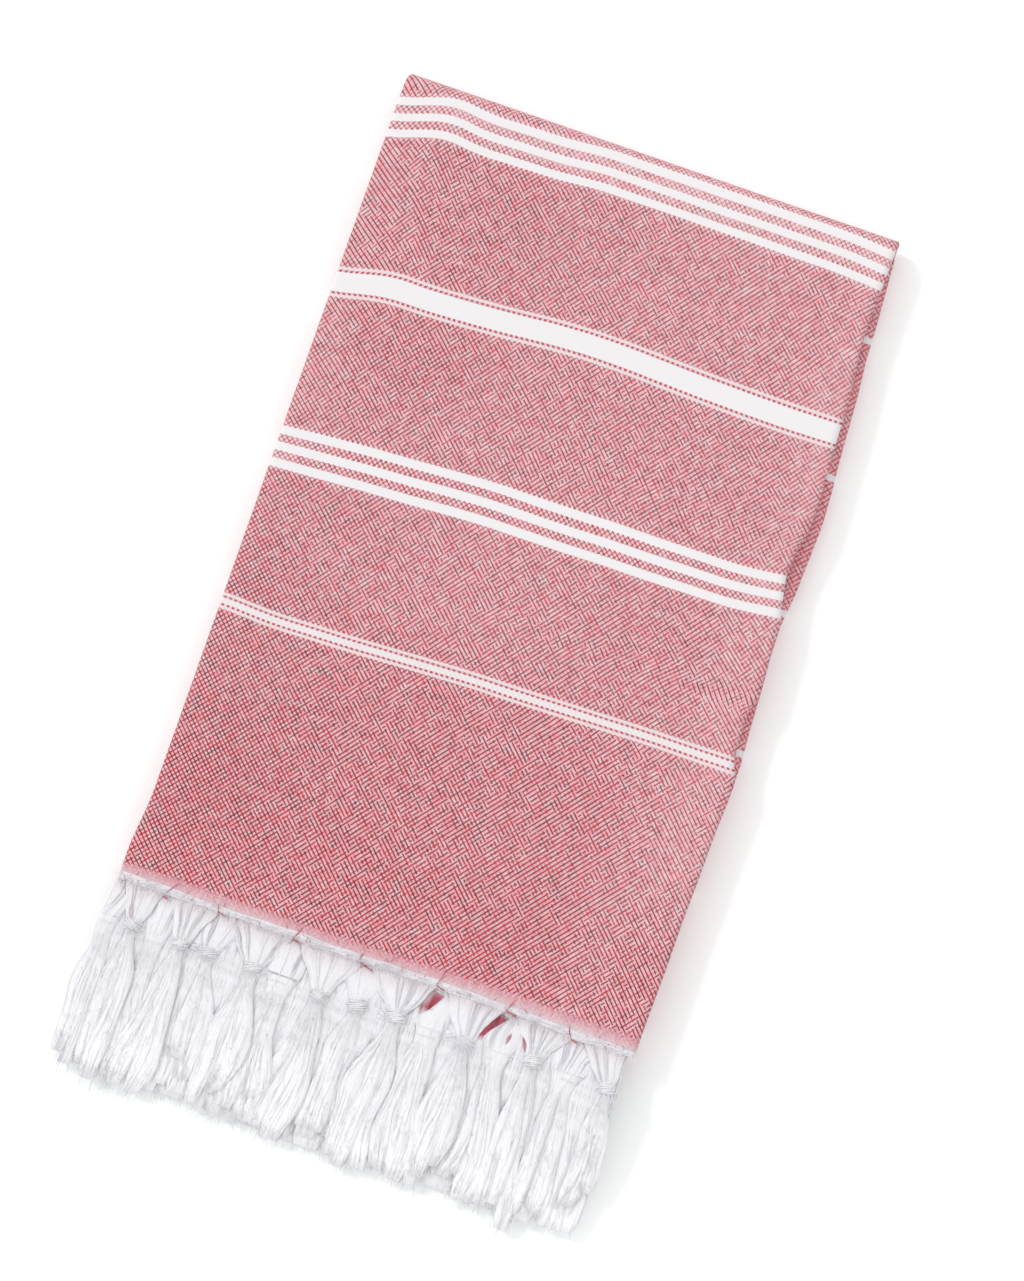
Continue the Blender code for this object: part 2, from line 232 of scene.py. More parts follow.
WEAVE_VALUES = ("lean", "cross", "painted_light")
PATCH_FLOOR = 0.25              # weight of plain cloth among the patches
# Painted shade: the lower plies' edges that stand out at the right lie in the top ply's shade and
# are seen aslant, so their lines are drawn redder and stronger
LOWER_TOP = 14.0 * MM           # the cloth that stands out below this height is redder
EDGE_SHADE_FROM = 120.0                # mm, where it starts to stand out
EDGE_SHADE_FULL = 127.0

# Fringe, as in its solids
FRINGE_FROM = HEM_UPPER
FULL_ROOT = 33.0 * MM           # width at the hem of a tassel of full bulk
KNOT_JITTER = 0.9 * MM
TIP_JITTER = 3.5 * MM
TASSEL_PITCH = 30.8 * MM        # of the covered layers
LEAST_ROOT = 14.0 * MM
COVERED_KNOT = 19.5             # mm from the hem, of a covered layer's knots
COVERED_TIP = 91.0
COVERED_SPREAD = 0.035
RIGHT_SHORTER = 15.0            # mm, of the covered tassels at the right
SHORTER_FROM = 88.0 * MM
LAYER_SHIFTS = (29.0, 14.0, 4.0, 20.0, 9.0, 25.0)   # mm, one for each covered layer
LAYERS = 2 * PLIES
# Tassels of the two top layers, in mm: its root's edges at the hem, its knot and its tip
TASSEL_COLUMNS = ("left", "right", "knot", "knot_distance", "tip", "tip_distance")
TOP_TASSELS = table(TASSEL_COLUMNS, (
    (-122.9, -101.4, -111.5, 18.5, -110.5, 96.0),
    (-101.4, -75.1, -89.0, 19.5, -94.5, 94.0),
    (-75.1, -38.5, -54.0, 18.5, -58.0, 90.0),
    (-38.5, -4.6, -21.5, 20.5, -27.0, 93.0),
    (-4.6, 31.8, 15.6, 18.2, 11.5, 97.5),
    (31.8, 66.6, 49.0, 20.5, 50.5, 93.0),
    (66.6, 98.3, 82.5, 18.0, 84.0, 98.5),
    (98.3, 123.4, 117.5, 18.0, 118.5, 78.0),
))
NEXT_TASSELS = table(TASSEL_COLUMNS, (
    (-122.9, -109.0, -122.0, 18.0, -124.0, 92.0),
    (-109.0, -88.5, -100.5, 19.0, -103.0, 96.0),
    (-88.5, -55.0, -74.4, 19.5, -74.0, 82.0),
    (-55.0, -22.0, -39.5, 18.5, -43.0, 88.0),
    (-22.0, 15.0, -2.5, 19.0, -3.0, 84.5),
    (15.0, 49.0, 33.0, 20.0, 34.0, 93.5),
    (49.0, 82.5, 66.0, 19.0, 67.0, 93.0),
    (82.5, 123.4, 99.0, 18.5, 100.0, 91.0),
))

# Stations down a tassel, in mm: half its width and height, the floor of the lowest
# layer, the height of each layer, and how far it has gone from its knot's place to its
# tip's, from 0 to 1
STATIONS = table(("distance", "half_width", "half_height", "lift", "layer", "settled"), (
    (-2.0, 3.6, 0.3, 10.0, 1.25, 0.0),
    (7.5, 3.6, 0.5, 10.0, 1.35, 0.0),
    (15.0, 3.6, 1.2, 10.3, 1.50, 0.0),
    (19.0, 3.7, 1.7, 10.3, 1.50, 0.0),
    (23.5, 2.9, 1.5, 10.3, 1.50, 0.0),
    (28.0, 3.6, 1.4, 9.3, 1.50, 0.03),
    (39.0, 6.6, 1.6, 3.6, 1.62, 0.2),
    (55.0, 8.4, 1.6, 0.3, 1.65, 0.5),
    (73.0, 9.0, 1.3, 0.0, 1.40, 0.8),
    (86.0, 8.6, 1.0, 0.0, 1.15, 0.95),
    (98.0, 8.2, 0.8, 0.0, 0.78, 1.0),
))
SEED = 7


# ---------------------------------------------------------------- user settings


COLOUR = {"size": 3, "min": 0.0, "max": 1.0, "subtype": "COLOR"}
LENGTH = {"unit": "LENGTH", "subtype": "DISTANCE"}


def seen(red, green, blue):
    """Linear colour of a shade given as it is seen, from 0 to 255."""
    shades = [shade / 255.0 for shade in (red, green, blue)]
    return [s / 12.92 if s <= 0.04045 else ((s + 0.055) / 1.055) ** 2.4 for s in shades]


class ClothSizes(bpy.types.PropertyGroup):
    """Sizes and colours of the striped cloth"""

    thickness: FloatProperty(
        name="Thickness", description="Thickness of the cotton cloth",
        default=0.8 * MM, min=0.3 * MM, max=1.1 * MM, **LENGTH)
    line_width: FloatProperty(
        name="Line width", description="Width of the red lines of the weave",
        default=0.55 * MM, min=0.1 * MM, max=1.5 * MM, **LENGTH)
    ground: FloatVectorProperty(
        name="Ground", description="Pink of the cloth between its lines",
        default=seen(216, 161, 167), **COLOUR)
    pale_ground: FloatVectorProperty(
        name="Pale ground", description="Pale pink that mottles the ground",
        default=seen(221, 191, 195), **COLOUR)
    line: FloatVectorProperty(
        name="Dark lines", description="Colour of most of the weave's lines",
        default=seen(98, 2, 20), **COLOUR)
    crimson: FloatVectorProperty(
        name="Crimson lines", description="Colour of the brighter lines of the weave",
        default=seen(176, 6, 42), **COLOUR)
    stripe: FloatVectorProperty(
        name="Stripes", description="White of the stripes",
        default=seen(225, 222, 224), **COLOUR)
    hem: FloatVectorProperty(
        name="Hem", description="Faded pink of the brushed band at the hem",
        default=seen(203, 132, 146), **COLOUR)


class FringeSizes(bpy.types.PropertyGroup):
    """Sizes and colours of the knotted fringe"""

    yarn_radius: FloatProperty(
        name="Yarn radius", description="Radius of one yarn of a tassel",
        default=0.2 * MM, min=0.1 * MM, max=1.0 * MM, **LENGTH)
    top_strands: IntProperty(
        name="Strands on top", description="Strands of a tassel of the two top layers",
        default=44, min=8, max=60)
    covered_strands: IntProperty(
        name="Strands below", description="Strands of a tassel of the other layers",
        default=16, min=8, max=60)
    # The lighter end of the yarn's colours: its own white, and the painted light at the tassels'
    # tips
    yarn: FloatVectorProperty(
        name="Yarn", description="White of the yarn",
        default=seen(246, 245, 249), **COLOUR)
    # The darker end of the yarn's colours: its duller strands, and the painted shade of yarn that
    # lies flat below the hem
    dull_and_shaded_yarn: FloatVectorProperty(
        name="Shaded yarn", description="Duller white of some of the yarns",
        default=seen(219, 218, 223), **COLOUR)
    stain: FloatVectorProperty(
        name="Stain", description="Crimson of the few yarns that took up the cloth's dye",
        default=seen(170, 40, 70), **COLOUR)


class StageSettings(bpy.types.PropertyGroup):
    """Floor, light and camera"""

    floor: FloatVectorProperty(
        name="Floor", description="Colour of the floor",
        default=(0.98, 1.0, 0.995), **COLOUR)
    sky_strength: FloatProperty(
        name="Sky strength", description="Strength of the soft light from all sides",
        default=1.03, min=0.0, max=5.0)
    key_strength: FloatProperty(
        name="Key strength", description="Strength of the light from the left",
        default=0.8, min=0.0, max=20.0)
    distance: FloatProperty(
        name="Camera distance", description="From the camera to the towel's top",
        default=1.5, min=0.3, max=5.0, **LENGTH)


# ---------------------------------------------------------------- shared helpers


def soft_step(low, high, value):
    """0 below low, 1 above high, and a soft step between them."""
    share = np.clip((value - low) / (high - low), 0.0, 1.0)
    return share * share * (3.0 - 2.0 * share)


def ripple(way, reach, phase=0.0):
    """A wave from -1 to 1 along a way, which turns by one radian in each reach."""
    return np.sin(way / reach + phase)


def column(rows, name):
    """One column of a table."""
    return np.array([row[name] for row in rows], dtype=float)


def edge_at(name, y):
    """Right edge of the stack at each y, between the rows of its table."""
    places = column(EDGE, "y")[::-1] * MM
    edges = column(EDGE, name)[::-1] * MM
    number = np.clip(np.searchsorted(places, y) - 1, 0, len(places) - 2)
    low, high = places[number], places[number + 1]
    return edges[number] + (edges[number + 1] - edges[number]) * soft_step(low, high, y)


def settle(points):
    """Moves points of the square stack to their places in the uneven one."""
    x, y, z = np.moveaxis(np.asarray(points, dtype=float), -1, 0)
    across = np.clip((x + HALF_WIDTH) / (2.0 * HALF_WIDTH), 0.0, 1.0) ** 2
    upper_share = soft_step(UPPER_FROM, UPPER_TO, z)
    lower = edge_at("lower_plies", y)
    edge = lower + (edge_at("upper_plies", y) - lower) * upper_share
    swell = sum(wave["share"] * np.sin(wave["per_m_x"] * x + wave["per_m_y"] * y
                                       + wave["phase"]) for wave in SWELL)
    hem = soft_step(-HEM_WAVE_FROM, -HEM_WAVE_FULL, -y)
    flare = FLARE * soft_step(-FLARE_FROM, -FLARE_FULL, -y)
    drawn = soft_step(-CORNER_FROM, -CORNER_FULL, -y)
    drawn *= soft_step(CORNER_END, CORNER_LASTS, y)
    flare -= CORNER_IN * drawn * (1.0 - upper_share)
    flare *= np.clip(-x / HALF_WIDTH, 0.0, None) ** 3
    return np.stack((
        x + (edge - SELVAGE_TOP) * across - flare,
        y - TOP_SKEW * x * soft_step(0.0, SKEW_END, y)
        + HEM_WAVE * hem * np.sin(HEM_WAVES_PER_M * x + HEM_PHASE),
        z * (1.0 + swell),
    ), axis=-1)


def new_object(name, mesh, material, body="root"):
    """Links a finished mesh as a piece that rides on a body."""
    mesh.materials.append(material)
    mesh.shade_smooth()
    piece = bpy.data.objects.new(name, mesh)
    bpy.context.scene.collection.objects.link(piece)
    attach(piece, body)
    return piece


def mixed(first, second, share):
    """A colour with a share of another in it."""
    return [(1.0 - share) * a + share * b for a, b in zip(first, second)]


class Shades:
    """The node tree of one new material, with short calls for its nodes. A value may
    be a socket, which is linked, or a number or colour, which is set."""

    def __init__(self, name):
        self.material = bpy.data.materials.new(name)
        self.material.use_nodes = True
        self.nodes = self.material.node_tree.nodes
        self.links = self.material.node_tree.links
        self.shader = self.nodes["Principled BSDF"]

    def put(self, socket, value):
        if isinstance(value, bpy.types.NodeSocket):
            self.links.new(value, socket)
        else:
            socket.default_value = value

    def add(self, kind, inputs=(), **settings):
        """A new node, with its settings and the inputs that are named in pairs."""
        node = self.nodes.new(kind)
        for name, value in settings.items():
            setattr(node, name, value)
        for name, value in inputs:
            self.put(node.inputs[name], value)
        return node

    def math(self, operation, *values, clamp=False):
        node = self.add("ShaderNodeMath", enumerate(values), operation=operation,
                        use_clamp=clamp)
        return node.outputs[0]

    def minus(self, first, second):
        return self.math("SUBTRACT", first, second)

    def times(self, first, second):
        return self.math("MULTIPLY", first, second)

    def floor(self, value):
        return self.math("FLOOR", value)

    def off(self, value, place):
        """How far a value is from a place, to either side."""
        return self.math("ABSOLUTE", self.minus(value, place))

    def total(self, *values):
        """Sum of several values."""
        sum_so_far = values[0]
        for value in values[1:]:
            sum_so_far = self.math("ADD", sum_so_far, value)
        return sum_so_far

    def weighed(self, start, *parts, clamp=False):
        """start plus each value times its weight, kept from 0 to 1 where clamp says so."""
        for number, (value, weight) in enumerate(parts, 1):
            start = self.math("MULTIPLY_ADD", value, weight, start,
                              clamp=clamp and number == len(parts))
        return start

    def most(self, *values, clamp=False):
        """The highest of several values."""
        highest = values[0]
        for value in values[1:]:
            highest = self.math("MAXIMUM", highest, value, clamp=clamp)
        return highest

    def step(self, low, high, value):
        """0 below low, 1 above high, and a soft step between them."""
        node = self.add("ShaderNodeMapRange",
                        (("Value", value), ("From Min", low), ("From Max", high)),
                        interpolation_type="SMOOTHSTEP")
        return node.outputs["Result"]

    def within(self, value, half, soft):
        """1 where value, never negative, is under half, with a soft edge."""
        return self.minus(1.0, self.step(half - soft, half + soft, value))

    def blend(self, share, first, second, mode="MIX"):
        """A share of the second colour over the first."""
        node = self.add("ShaderNodeMix", data_type="RGBA", blend_type=mode)
        self.put(node.inputs[0], share)
        for socket, colour in zip(node.inputs[6:8], (first, second)):
            if not isinstance(colour, bpy.types.NodeSocket):
                colour = (*colour, 1.0)
            self.put(socket, colour)
        return node.outputs[2]

    def cover(self, colour, mask, strength, over):
        """A colour with another over it where the mask is 1, at the strength given."""
        return self.blend(self.times(mask, strength), colour, over)

    def vector(self, x, y, z=0.0):
        return self.add("ShaderNodeCombineXYZ", enumerate((x, y, z))).outputs[0]

    def parts(self, vector):
        return self.add("ShaderNodeSeparateXYZ", ((0, vector),)).outputs

    def cloud(self, vector, scale, detail=2.0, spread=1.0):
        """Soft noise from about 0 to 1, with scale lumps to a metre, stretched about its
        middle by spread."""
        node = self.add("ShaderNodeTexNoise",
                        (("Vector", vector), ("Scale", scale), ("Detail", detail)))
        return self.weighed(0.5, (self.minus(node.outputs["Fac"], 0.5), spread), clamp=True)

    def chance(self, vector):
        """A number from 0 to 1 of its own for each vector."""
        node = self.add("ShaderNodeTexWhiteNoise", (("Vector", vector),),
                        noise_dimensions="3D")
        return node.outputs["Value"]

    def attribute(self, name):
        """A value that the mesh holds at its points."""
        return self.add("ShaderNodeAttribute", attribute_name=name).outputs["Fac"]

    def in_piece(self):
        """The place in the piece, in metres."""
        return self.add("ShaderNodeTexCoord").outputs["Object"]

    def relief(self, height, depth):
        """Gives the surface a relief, where a height of 1 is as deep as depth."""
        bump = self.add("ShaderNodeBump", (("Height", height), ("Distance", depth)))
        self.put(self.shader.inputs["Normal"], bump.outputs["Normal"])

    def finished(self, colour, roughness, specular, sheen=0.0, sheen_roughness=0.5):
        """The material, with its colour and its shader's own values set."""
        for name, value in (("Base Color", colour), ("Roughness", roughness),
                            ("Specular IOR Level", specular), ("Sheen Weight", sheen),
                            ("Sheen Roughness", sheen_roughness)):
            self.put(self.shader.inputs[name], value)
        return self.material


# ---------------------------------------------------------------- cloth material


# Waves of the weave's two families of lines, in lines per metre across and along
RISING = (400.0, -325.0)        # lines that rise to the right
FALLING = (390.0, 385.0)        # lines that fall to the right
FIRST_LINE = 900.0              # keeps the lines' numbers above 0 all over the cloth
RUN_CELLS = 2.0                 # cells of the lattice that a line runs before it may stop
RUN_SHIFT = 9.0                 # cells by which a line's runs may start later
LINE_SOFTNESS = 0.3             # of a line's edge, to its width
# Painted shade widens the weave's lines and painted light narrows them, by this much for each
# unit
PAINTED_SHADE_WIDENING = 0.055 * MM
# Groups of three white stripes: where, from one stripe to the next, and half a stripe
TRIPLES = (
    (LOWER_TRIPLE_AT, 8.4 * MM, 2.15 * MM),
    (UPPER_TRIPLE_AT, 8.1 * MM, 1.95 * MM),
)
# Stripes with a pale row at both sides: where, half the stripe, from its middle to the
# pale row, and how white it is
BORDERED = (
    (WIDE_AT, 5.0 * MM, 7.0 * MM, 1.0),
    (THIN_AT, 1.45 * MM, 3.2 * MM, THIN_WHITE),
)
SINGLE_HALF = 1.6 * MM
PALE_HALF = 0.7 * MM
DOTS_INSIDE = 1.25 * MM         # how far inside the pale row the row of dots lies
DOTS_HALF = 0.5 * MM
TRIPLE_MARGIN = 1.4 * MM        # cloth beside the stripes that still counts as near
BORDERED_MARGIN = 1.3 * MM
TOOTH_PITCH = 2.56 * MM
TOOTH_SLOPE = 0.34              # of a tooth's sides
TOOTH_INSET = 0.25 * MM         # half the height of a tooth, about
YARN_ACROSS = 0.32 * MM         # pitch of the cloth's own yarns
YARN_ALONG = 0.35 * MM


def line_number(shades, across, along, wave):
    """Number of the line of one family at each place, and as a fraction how far the
    place is on the way to the next. The cloth's width runs to the left on the top."""
    return shades.total(shades.times(across, -wave[0]), shades.times(along, wave[1]),
                        FIRST_LINE)


def line_mask(shades, number, wave, width, painted_light):
    """One family of slanted lines, as a mask. They are drawn wider under painted shade and
    narrower under painted light.
    """
    off = shades.times(shades.off(shades.math("FRACT", number), 0.5), 1.0 / math.hypot(*wave))
    return shades.within(shades.weighed(off, (painted_light, PAINTED_SHADE_WIDENING)), width / 2.0,
                         width * LINE_SOFTNESS)


def claim(shades, own, other, seed):
    """How strongly a line claims its crossings with the other family's lines: a chance
    that stays the same for a few crossings and then changes."""
    line = shades.floor(own)
    shift = shades.times(shades.chance(shades.vector(line, seed)), RUN_SHIFT)
    run = shades.floor(shades.math(
        "DIVIDE", shades.total(shades.floor(other), shift), RUN_CELLS))
    return shades.chance(shades.vector(line, run, seed))


def stripe_masks(shades, across, along):
    """Masks of the stripes: white, pale, the rows between them that hold red dots, the
    dots, and how near a stripe the cloth is."""
    from_hem = shades.minus(PATTERN_MIDDLE, shades.off(along, PATTERN_MIDDLE))
    tooth = shades.weighed(-TOOTH_INSET, (shades.math("PINGPONG", across, TOOTH_PITCH / 2.0),
                                          TOOTH_SLOPE))
    dot = shades.math("LESS_THAN", shades.math(
        "FRACT", shades.math("DIVIDE", across, TOOTH_PITCH)), 0.5)

    def toothed(distance, half):
        return shades.within(shades.total(distance, tooth), half, 0.12 * MM)

    white, pale, rows, near = [], [], [], []
    for place, pitch, half in TRIPLES:
        distance = shades.off(from_hem, place)
        nearest = shades.math("MINIMUM", distance, shades.off(distance, pitch))
        white.append(toothed(nearest, half))
        near.append(shades.within(distance, pitch + half + TRIPLE_MARGIN, 0.6 * MM))
    for place, half, reach, share in BORDERED:
        distance = shades.off(from_hem, place)
        white.append(shades.times(shades.within(distance, half, 0.15 * MM), share))
        pale.append(shades.within(shades.off(distance, reach), PALE_HALF, 0.15 * MM))
        row = shades.off(distance, reach - DOTS_INSIDE)
        rows.append(shades.within(row, DOTS_HALF, 0.12 * MM))
        near.append(shades.within(distance, reach + BORDERED_MARGIN, 0.5 * MM))
    from_single = shades.minus(from_hem, SINGLES_FROM - SINGLES_PITCH / 2.0)
    among = shades.math("GREATER_THAN", from_single, 0.0)
    place = shades.math("FRACT", shades.math("DIVIDE", from_single, SINGLES_PITCH))
    distance = shades.off(shades.times(place, SINGLES_PITCH), SINGLES_PITCH / 2.0)
    white.append(shades.times(toothed(distance, SINGLE_HALF), among))
    white, pale, rows, near = (shades.most(*masks) for masks in (white, pale, rows, near))
    return white, pale, rows, shades.times(rows, dot), near


def slanted_lines(shades, place, values, near, line_width):
    """The maze of short slanted lines: their mask, where two of them cross, and a number
    of its own for each cell between them."""
    across, along, _ = shades.parts(place)
    rising = line_number(shades, across, along, RISING)
    falling = line_number(shades, across, along, FALLING)
    cell = (shades.floor(rising), shades.floor(falling))
    patch = shades.weighed(-1.0, (shades.cloud(place, 75.0, 1.0, 3.0), 2.0))
    way = shades.weighed(0.05, (patch, 0.4), (values["lean"], 0.6))
    bid = shades.minus(claim(shades, rising, falling, 11.0),
                       claim(shades, falling, rising, 29.0))
    rises = shades.math("GREATER_THAN", shades.total(bid, way), 0.0)
    faint = shades.minus(shades.chance(shades.vector(*cell, 3.0)), 0.15)
    both = shades.most(shades.total(faint, values["cross"]), near, clamp=True)
    up, down = (line_mask(shades, number, wave, line_width, values["painted_light"])
                for number, wave in ((rising, RISING), (falling, FALLING)))
    lines = shades.most(shades.times(up, shades.most(rises, both)),
                        shades.times(down, shades.most(shades.minus(1.0, rises), both)),
                        clamp=True)
    return lines, shades.times(up, down), shades.chance(shades.vector(*cell, 5.0))


def woven_colour(shades, settings, place, values, near, lines, crossing, cell):
    """Colour of the plain cloth: a mottled pink ground with the lines on it, made lighter and
    darker by painted light and shade.
    """
    painted_light, edge_shade = values["painted_light"], values["edge_shade"]
    mottle = shades.weighed(-0.45, (shades.cloud(place, 220.0, 3.0, 2.8), 1.0), (cell, 0.5),
                            (near, 0.7), clamp=True)
    ground = shades.blend(mottle, settings.ground, settings.pale_ground)
    # Painted shade: the lines are redder and stronger where the patches paint shade, and on the
    # lower plies' right edges
    reddening = shades.weighed(0.22, (shades.cloud(place, 230.0, 3.0, 3.6), 1.0),
                               (cell, -0.7), (painted_light, -0.25), (near, 0.35), (edge_shade, 0.8),
                               clamp=True)
    line_colour = shades.blend(reddening, settings.line, settings.crimson)
    strength = shades.weighed(0.76, (shades.cloud(place, 260.0, 3.0, 3.0), 0.5),
                              (painted_light, -0.3), (near, -0.25), (edge_shade, 0.3), (crossing, 0.45),
                              clamp=True)
    body = shades.blend(shades.times(lines, strength), ground, line_colour)
    # Painted light and shade: the colour is made lighter or darker by the patches' painted light,
    # with a little random mottle
    light = shades.weighed(0.97, (painted_light, 0.045),
                           (shades.cloud(shades.in_piece(), 90.0, 2.0, 2.0), 0.08))
    return shades.blend(1.0, body, shades.vector(light, light, light), mode="MULTIPLY")


def striped_cotton(settings):
    """Pink cotton with a maze of short slanted red lines, white stripes with toothed
    edges, and a faded brushed band and a white edge at the hems."""
    shades = Shades("striped_cotton")
    place = shades.add("ShaderNodeUVMap", uv_map="cloth").outputs["UV"]
    across, along, _ = shades.parts(place)
    values = {name: shades.attribute(name) for name in (*WEAVE_VALUES, "edge_shade")}
    white, pale, rows, dots, near = stripe_masks(shades, across, along)
    lines, crossing, cell = slanted_lines(shades, place, values, near, settings.line_width)
    colour = woven_colour(shades, settings, place, values, near, lines, crossing, cell)

    def grain(across_scale, along_scale, detail, spread):
        stretched = shades.vector(shades.times(across, across_scale),
                                  shades.times(along, along_scale))
        return shades.cloud(stretched, 1.0, detail, spread)

    # Stripes
    pale_pink = mixed(settings.stripe, settings.ground, 0.25)
    snow = shades.cover(settings.stripe, grain(60.0, 900.0, 1.0, 2.0), 0.12, pale_pink)
    colour = shades.cover(colour, rows, 0.6, pale_pink)
    colour = shades.cover(colour, pale, 0.9, pale_pink)
    colour = shades.blend(white, colour, snow)
    colour = shades.cover(colour, dots, 0.85, settings.crimson)

    # The brushed band at the hems, with its ragged border, and the white edge
    from_hem = shades.math("MINIMUM", along, shades.minus(FLAT_LENGTH, along))
    streak = grain(1500.0, 90.0, 3.0, 2.4)
    wander = shades.cloud(shades.vector(shades.times(across, 420.0), 3.0), 1.0, 2.0, 1.6)
    ragged = shades.weighed(from_hem, (wander, 3.0 * MM), (streak, 2.0 * MM))
    worn = mixed(settings.stripe, settings.hem, 0.3)
    faded = shades.blend(shades.step(2.0 * MM, 11.0 * MM, ragged), worn, settings.hem)
    faded = shades.cover(faded, streak, 0.55, settings.stripe)
    fleck = shades.times(shades.cloud(place, 900.0, 2.0, 7.0),
                         shades.step(5.0 * MM, 10.5 * MM, ragged))
    faded = shades.cover(faded, fleck, 0.35, settings.crimson)
    band = shades.minus(1.0, shades.step(9.9 * MM, 11.7 * MM, ragged))
    colour = shades.cover(colour, band, 0.86, faded)
    rim = shades.weighed(from_hem, (wander, 0.9 * MM))
    edge = shades.minus(1.0, shades.step(2.3 * MM, 3.6 * MM, rim))
    colour = shades.cover(colour, edge, 0.85, settings.stripe)

    # Relief: the lines lie a little deep, and fine yarns run both ways
    yarns = shades.total(shades.math("PINGPONG", across, YARN_ACROSS),
                         shades.math("PINGPONG", along, YARN_ALONG))
    shades.relief(shades.weighed(
        0.0, (yarns, 0.3 / MM), (shades.times(lines, shades.minus(1.0, white)), -0.55),
        (white, 0.25), (shades.cloud(place, 1400.0, 2.0, 1.5), 0.3),
        (shades.times(streak, band), 0.9)), 0.14 * MM)
    return shades.finished(colour, roughness=0.92, specular=0.15, sheen=0.12,
                           sheen_roughness=0.6)


# ---------------------------------------------------------------- cloth mesh


def turned_path(runs, pitch):
    """Middle line of a sheet that runs back and forth, with a round turn between
    runs. A run is (slot, start, end, cells), and its slot is its place in the stack,
    from below. Each sample is (along, height, normal along, normal height, way gone)."""
    samples = []
    gone = 0.0
    for number, (slot, start, end, cells) in enumerate(runs):
        way = 1.0 if end > start else -1.0
        height = (slot + 0.5) * pitch
        for n in range(cells + 1):
            stop = start + (end - start) * n / cells
            samples.append((stop, height, 0.0, way, gone + abs(stop - start)))
        gone += abs(end - start)
        if number + 1 == len(runs):
            break
        rise = (runs[number + 1][0] - slot) * pitch
        radius = abs(rise) / 2.0
        upward = math.copysign(1.0, rise)
        steps = WIDE_TURN_STEPS if radius > BUNDLE_PITCH else SMALL_TURN_STEPS
        for step in range(1, steps):
            angle = math.pi * step / steps
            out = math.sin(angle) * way
            up = -math.cos(angle) * upward
            samples.append((end + radius * out, height + rise / 2.0 + radius * up,
                            -upward * way * out, -upward * way * up, gone + radius * angle))
        gone += math.pi * radius
    return np.array(samples)


def width_path():
    """The four plies across the width, with heights from the middle of the bundle."""
    path = turned_path((
        (PLIES - 1, SELVAGE_TOP, LEFT_OUTER_TURN, SHOWN_ACROSS),
        (0, LEFT_OUTER_TURN, RIGHT_TURN, COVERED_ACROSS),
        (1, RIGHT_TURN, LEFT_INNER_TURN, COVERED_ACROSS),
        (2, LEFT_INNER_TURN, SELVAGE_UNDER, COVERED_ACROSS),
    ), PLY_PITCH)
    path[:, 1] -= PLIES / 2.0 * PLY_PITCH
    return path


def length_path():
    """The four bundles along the length, from the upper hem to the lower one."""
    return turned_path((
        (UPPER_BUNDLE, HEM_UPPER, TOP_TURN, SHOWN_ALONG),
        (0, TOP_TURN, FRINGE_END_TURN, COVERED_ALONG),
        (1, FRINGE_END_TURN, TOP_TURN, COVERED_ALONG),
        (LOWER_BUNDLE, TOP_TURN, HEM_LOWER, COVERED_ALONG),
    ), BUNDLE_PITCH)


FLAT_WIDTH = width_path()[-1, 4]
FLAT_LENGTH = length_path()[-1, 4]
# Way along the cloth to the fold under the fringe, where the pattern turns back
PATTERN_MIDDLE = (2.0 * TOP_TURN - HEM_UPPER - FRINGE_END_TURN
                  + math.pi * BUNDLE_PITCH * (1.5 + 0.25))


def creased(points):
    """Raises and lowers the top plies along the main creases, and puckers the hem."""
    x, y, z = np.moveaxis(points, -1, 0)
    rise = np.zeros_like(x)
    for crease in CREASES:
        start = np.array((crease["x"], crease["y"])) * MM
        run = np.array((crease["to_x"], crease["to_y"])) * MM - start
        share = ((x - start[0]) * run[0] + (y - start[1]) * run[1]) / (run @ run)
        share = np.clip(share, 0.0, 1.0)
        off = np.hypot(x - start[0] - share * run[0], y - start[1] - share * run[1])
        fade = np.sin(np.pi * np.clip(share, CREASE_ENDS, 1.0 - CREASE_ENDS)) ** 0.5
        rise += crease["rise"] * MM * fade * np.exp(-(off / (crease["reach"] * MM)) ** 2)
    hem = soft_step(-PUCKER_FROM, -HEM_UPPER, -y)
    rise += PUCKER_RISE * hem * ripple(FULL_TURN * x, PUCKER_PITCH, PUCKER_PHASE)
    rise -= EDGE_SINK * soft_step(-EDGE_SINK_FROM, -EDGE_SINK_FULL, -x)
    share = soft_step(CREASED_FROM, CREASED_FULL, z)
    return np.stack((x, y, z + rise * share), axis=-1)


def cloth_points(across, along, side, thickness):
    """Points on one face of the cloth, side +1 or -1, as a grid along by across."""
    x, height, normal_x, normal_height = (across[None, :, n] for n in range(4))
    y, z, normal_y, normal_z = (along[:, None, n] for n in range(4))
    half = side * thickness / 2.0
    lift = height + half * normal_height
    grid = np.broadcast_arrays(x + half * normal_x, y + lift * normal_y,
                               z + lift * normal_z - STACK_DROP)
    return creased(settle(np.stack(grid, axis=-1)))


def weft_drift(x, way):
    """How far the weft line at each place of the cloth has wandered up the towel."""
    places = column(DRIFT, "x")
    groups = []
    for name, _ in DRIFT_STOPS:
        values = [np.interp(x / MM + reach, places, column(DRIFT, name))
                  for reach in DRIFT_SOFTENING]
        groups.append(np.mean(values, axis=0) * MM)
    stops = (0.0, *(place for _, place in DRIFT_STOPS), DRIFT_END)
    levels = [0.0 * groups[0], *groups, 0.0 * groups[0]]
    drift = np.zeros_like(x)
    for low, high, first, second in zip(stops, stops[1:], levels, levels[1:]):
        inside = (way >= low) & (way < high)
        share = np.clip((way - low) / (high - low), 0.0, 1.0)
        drift += inside * (first + (second - first) * share)
    return drift


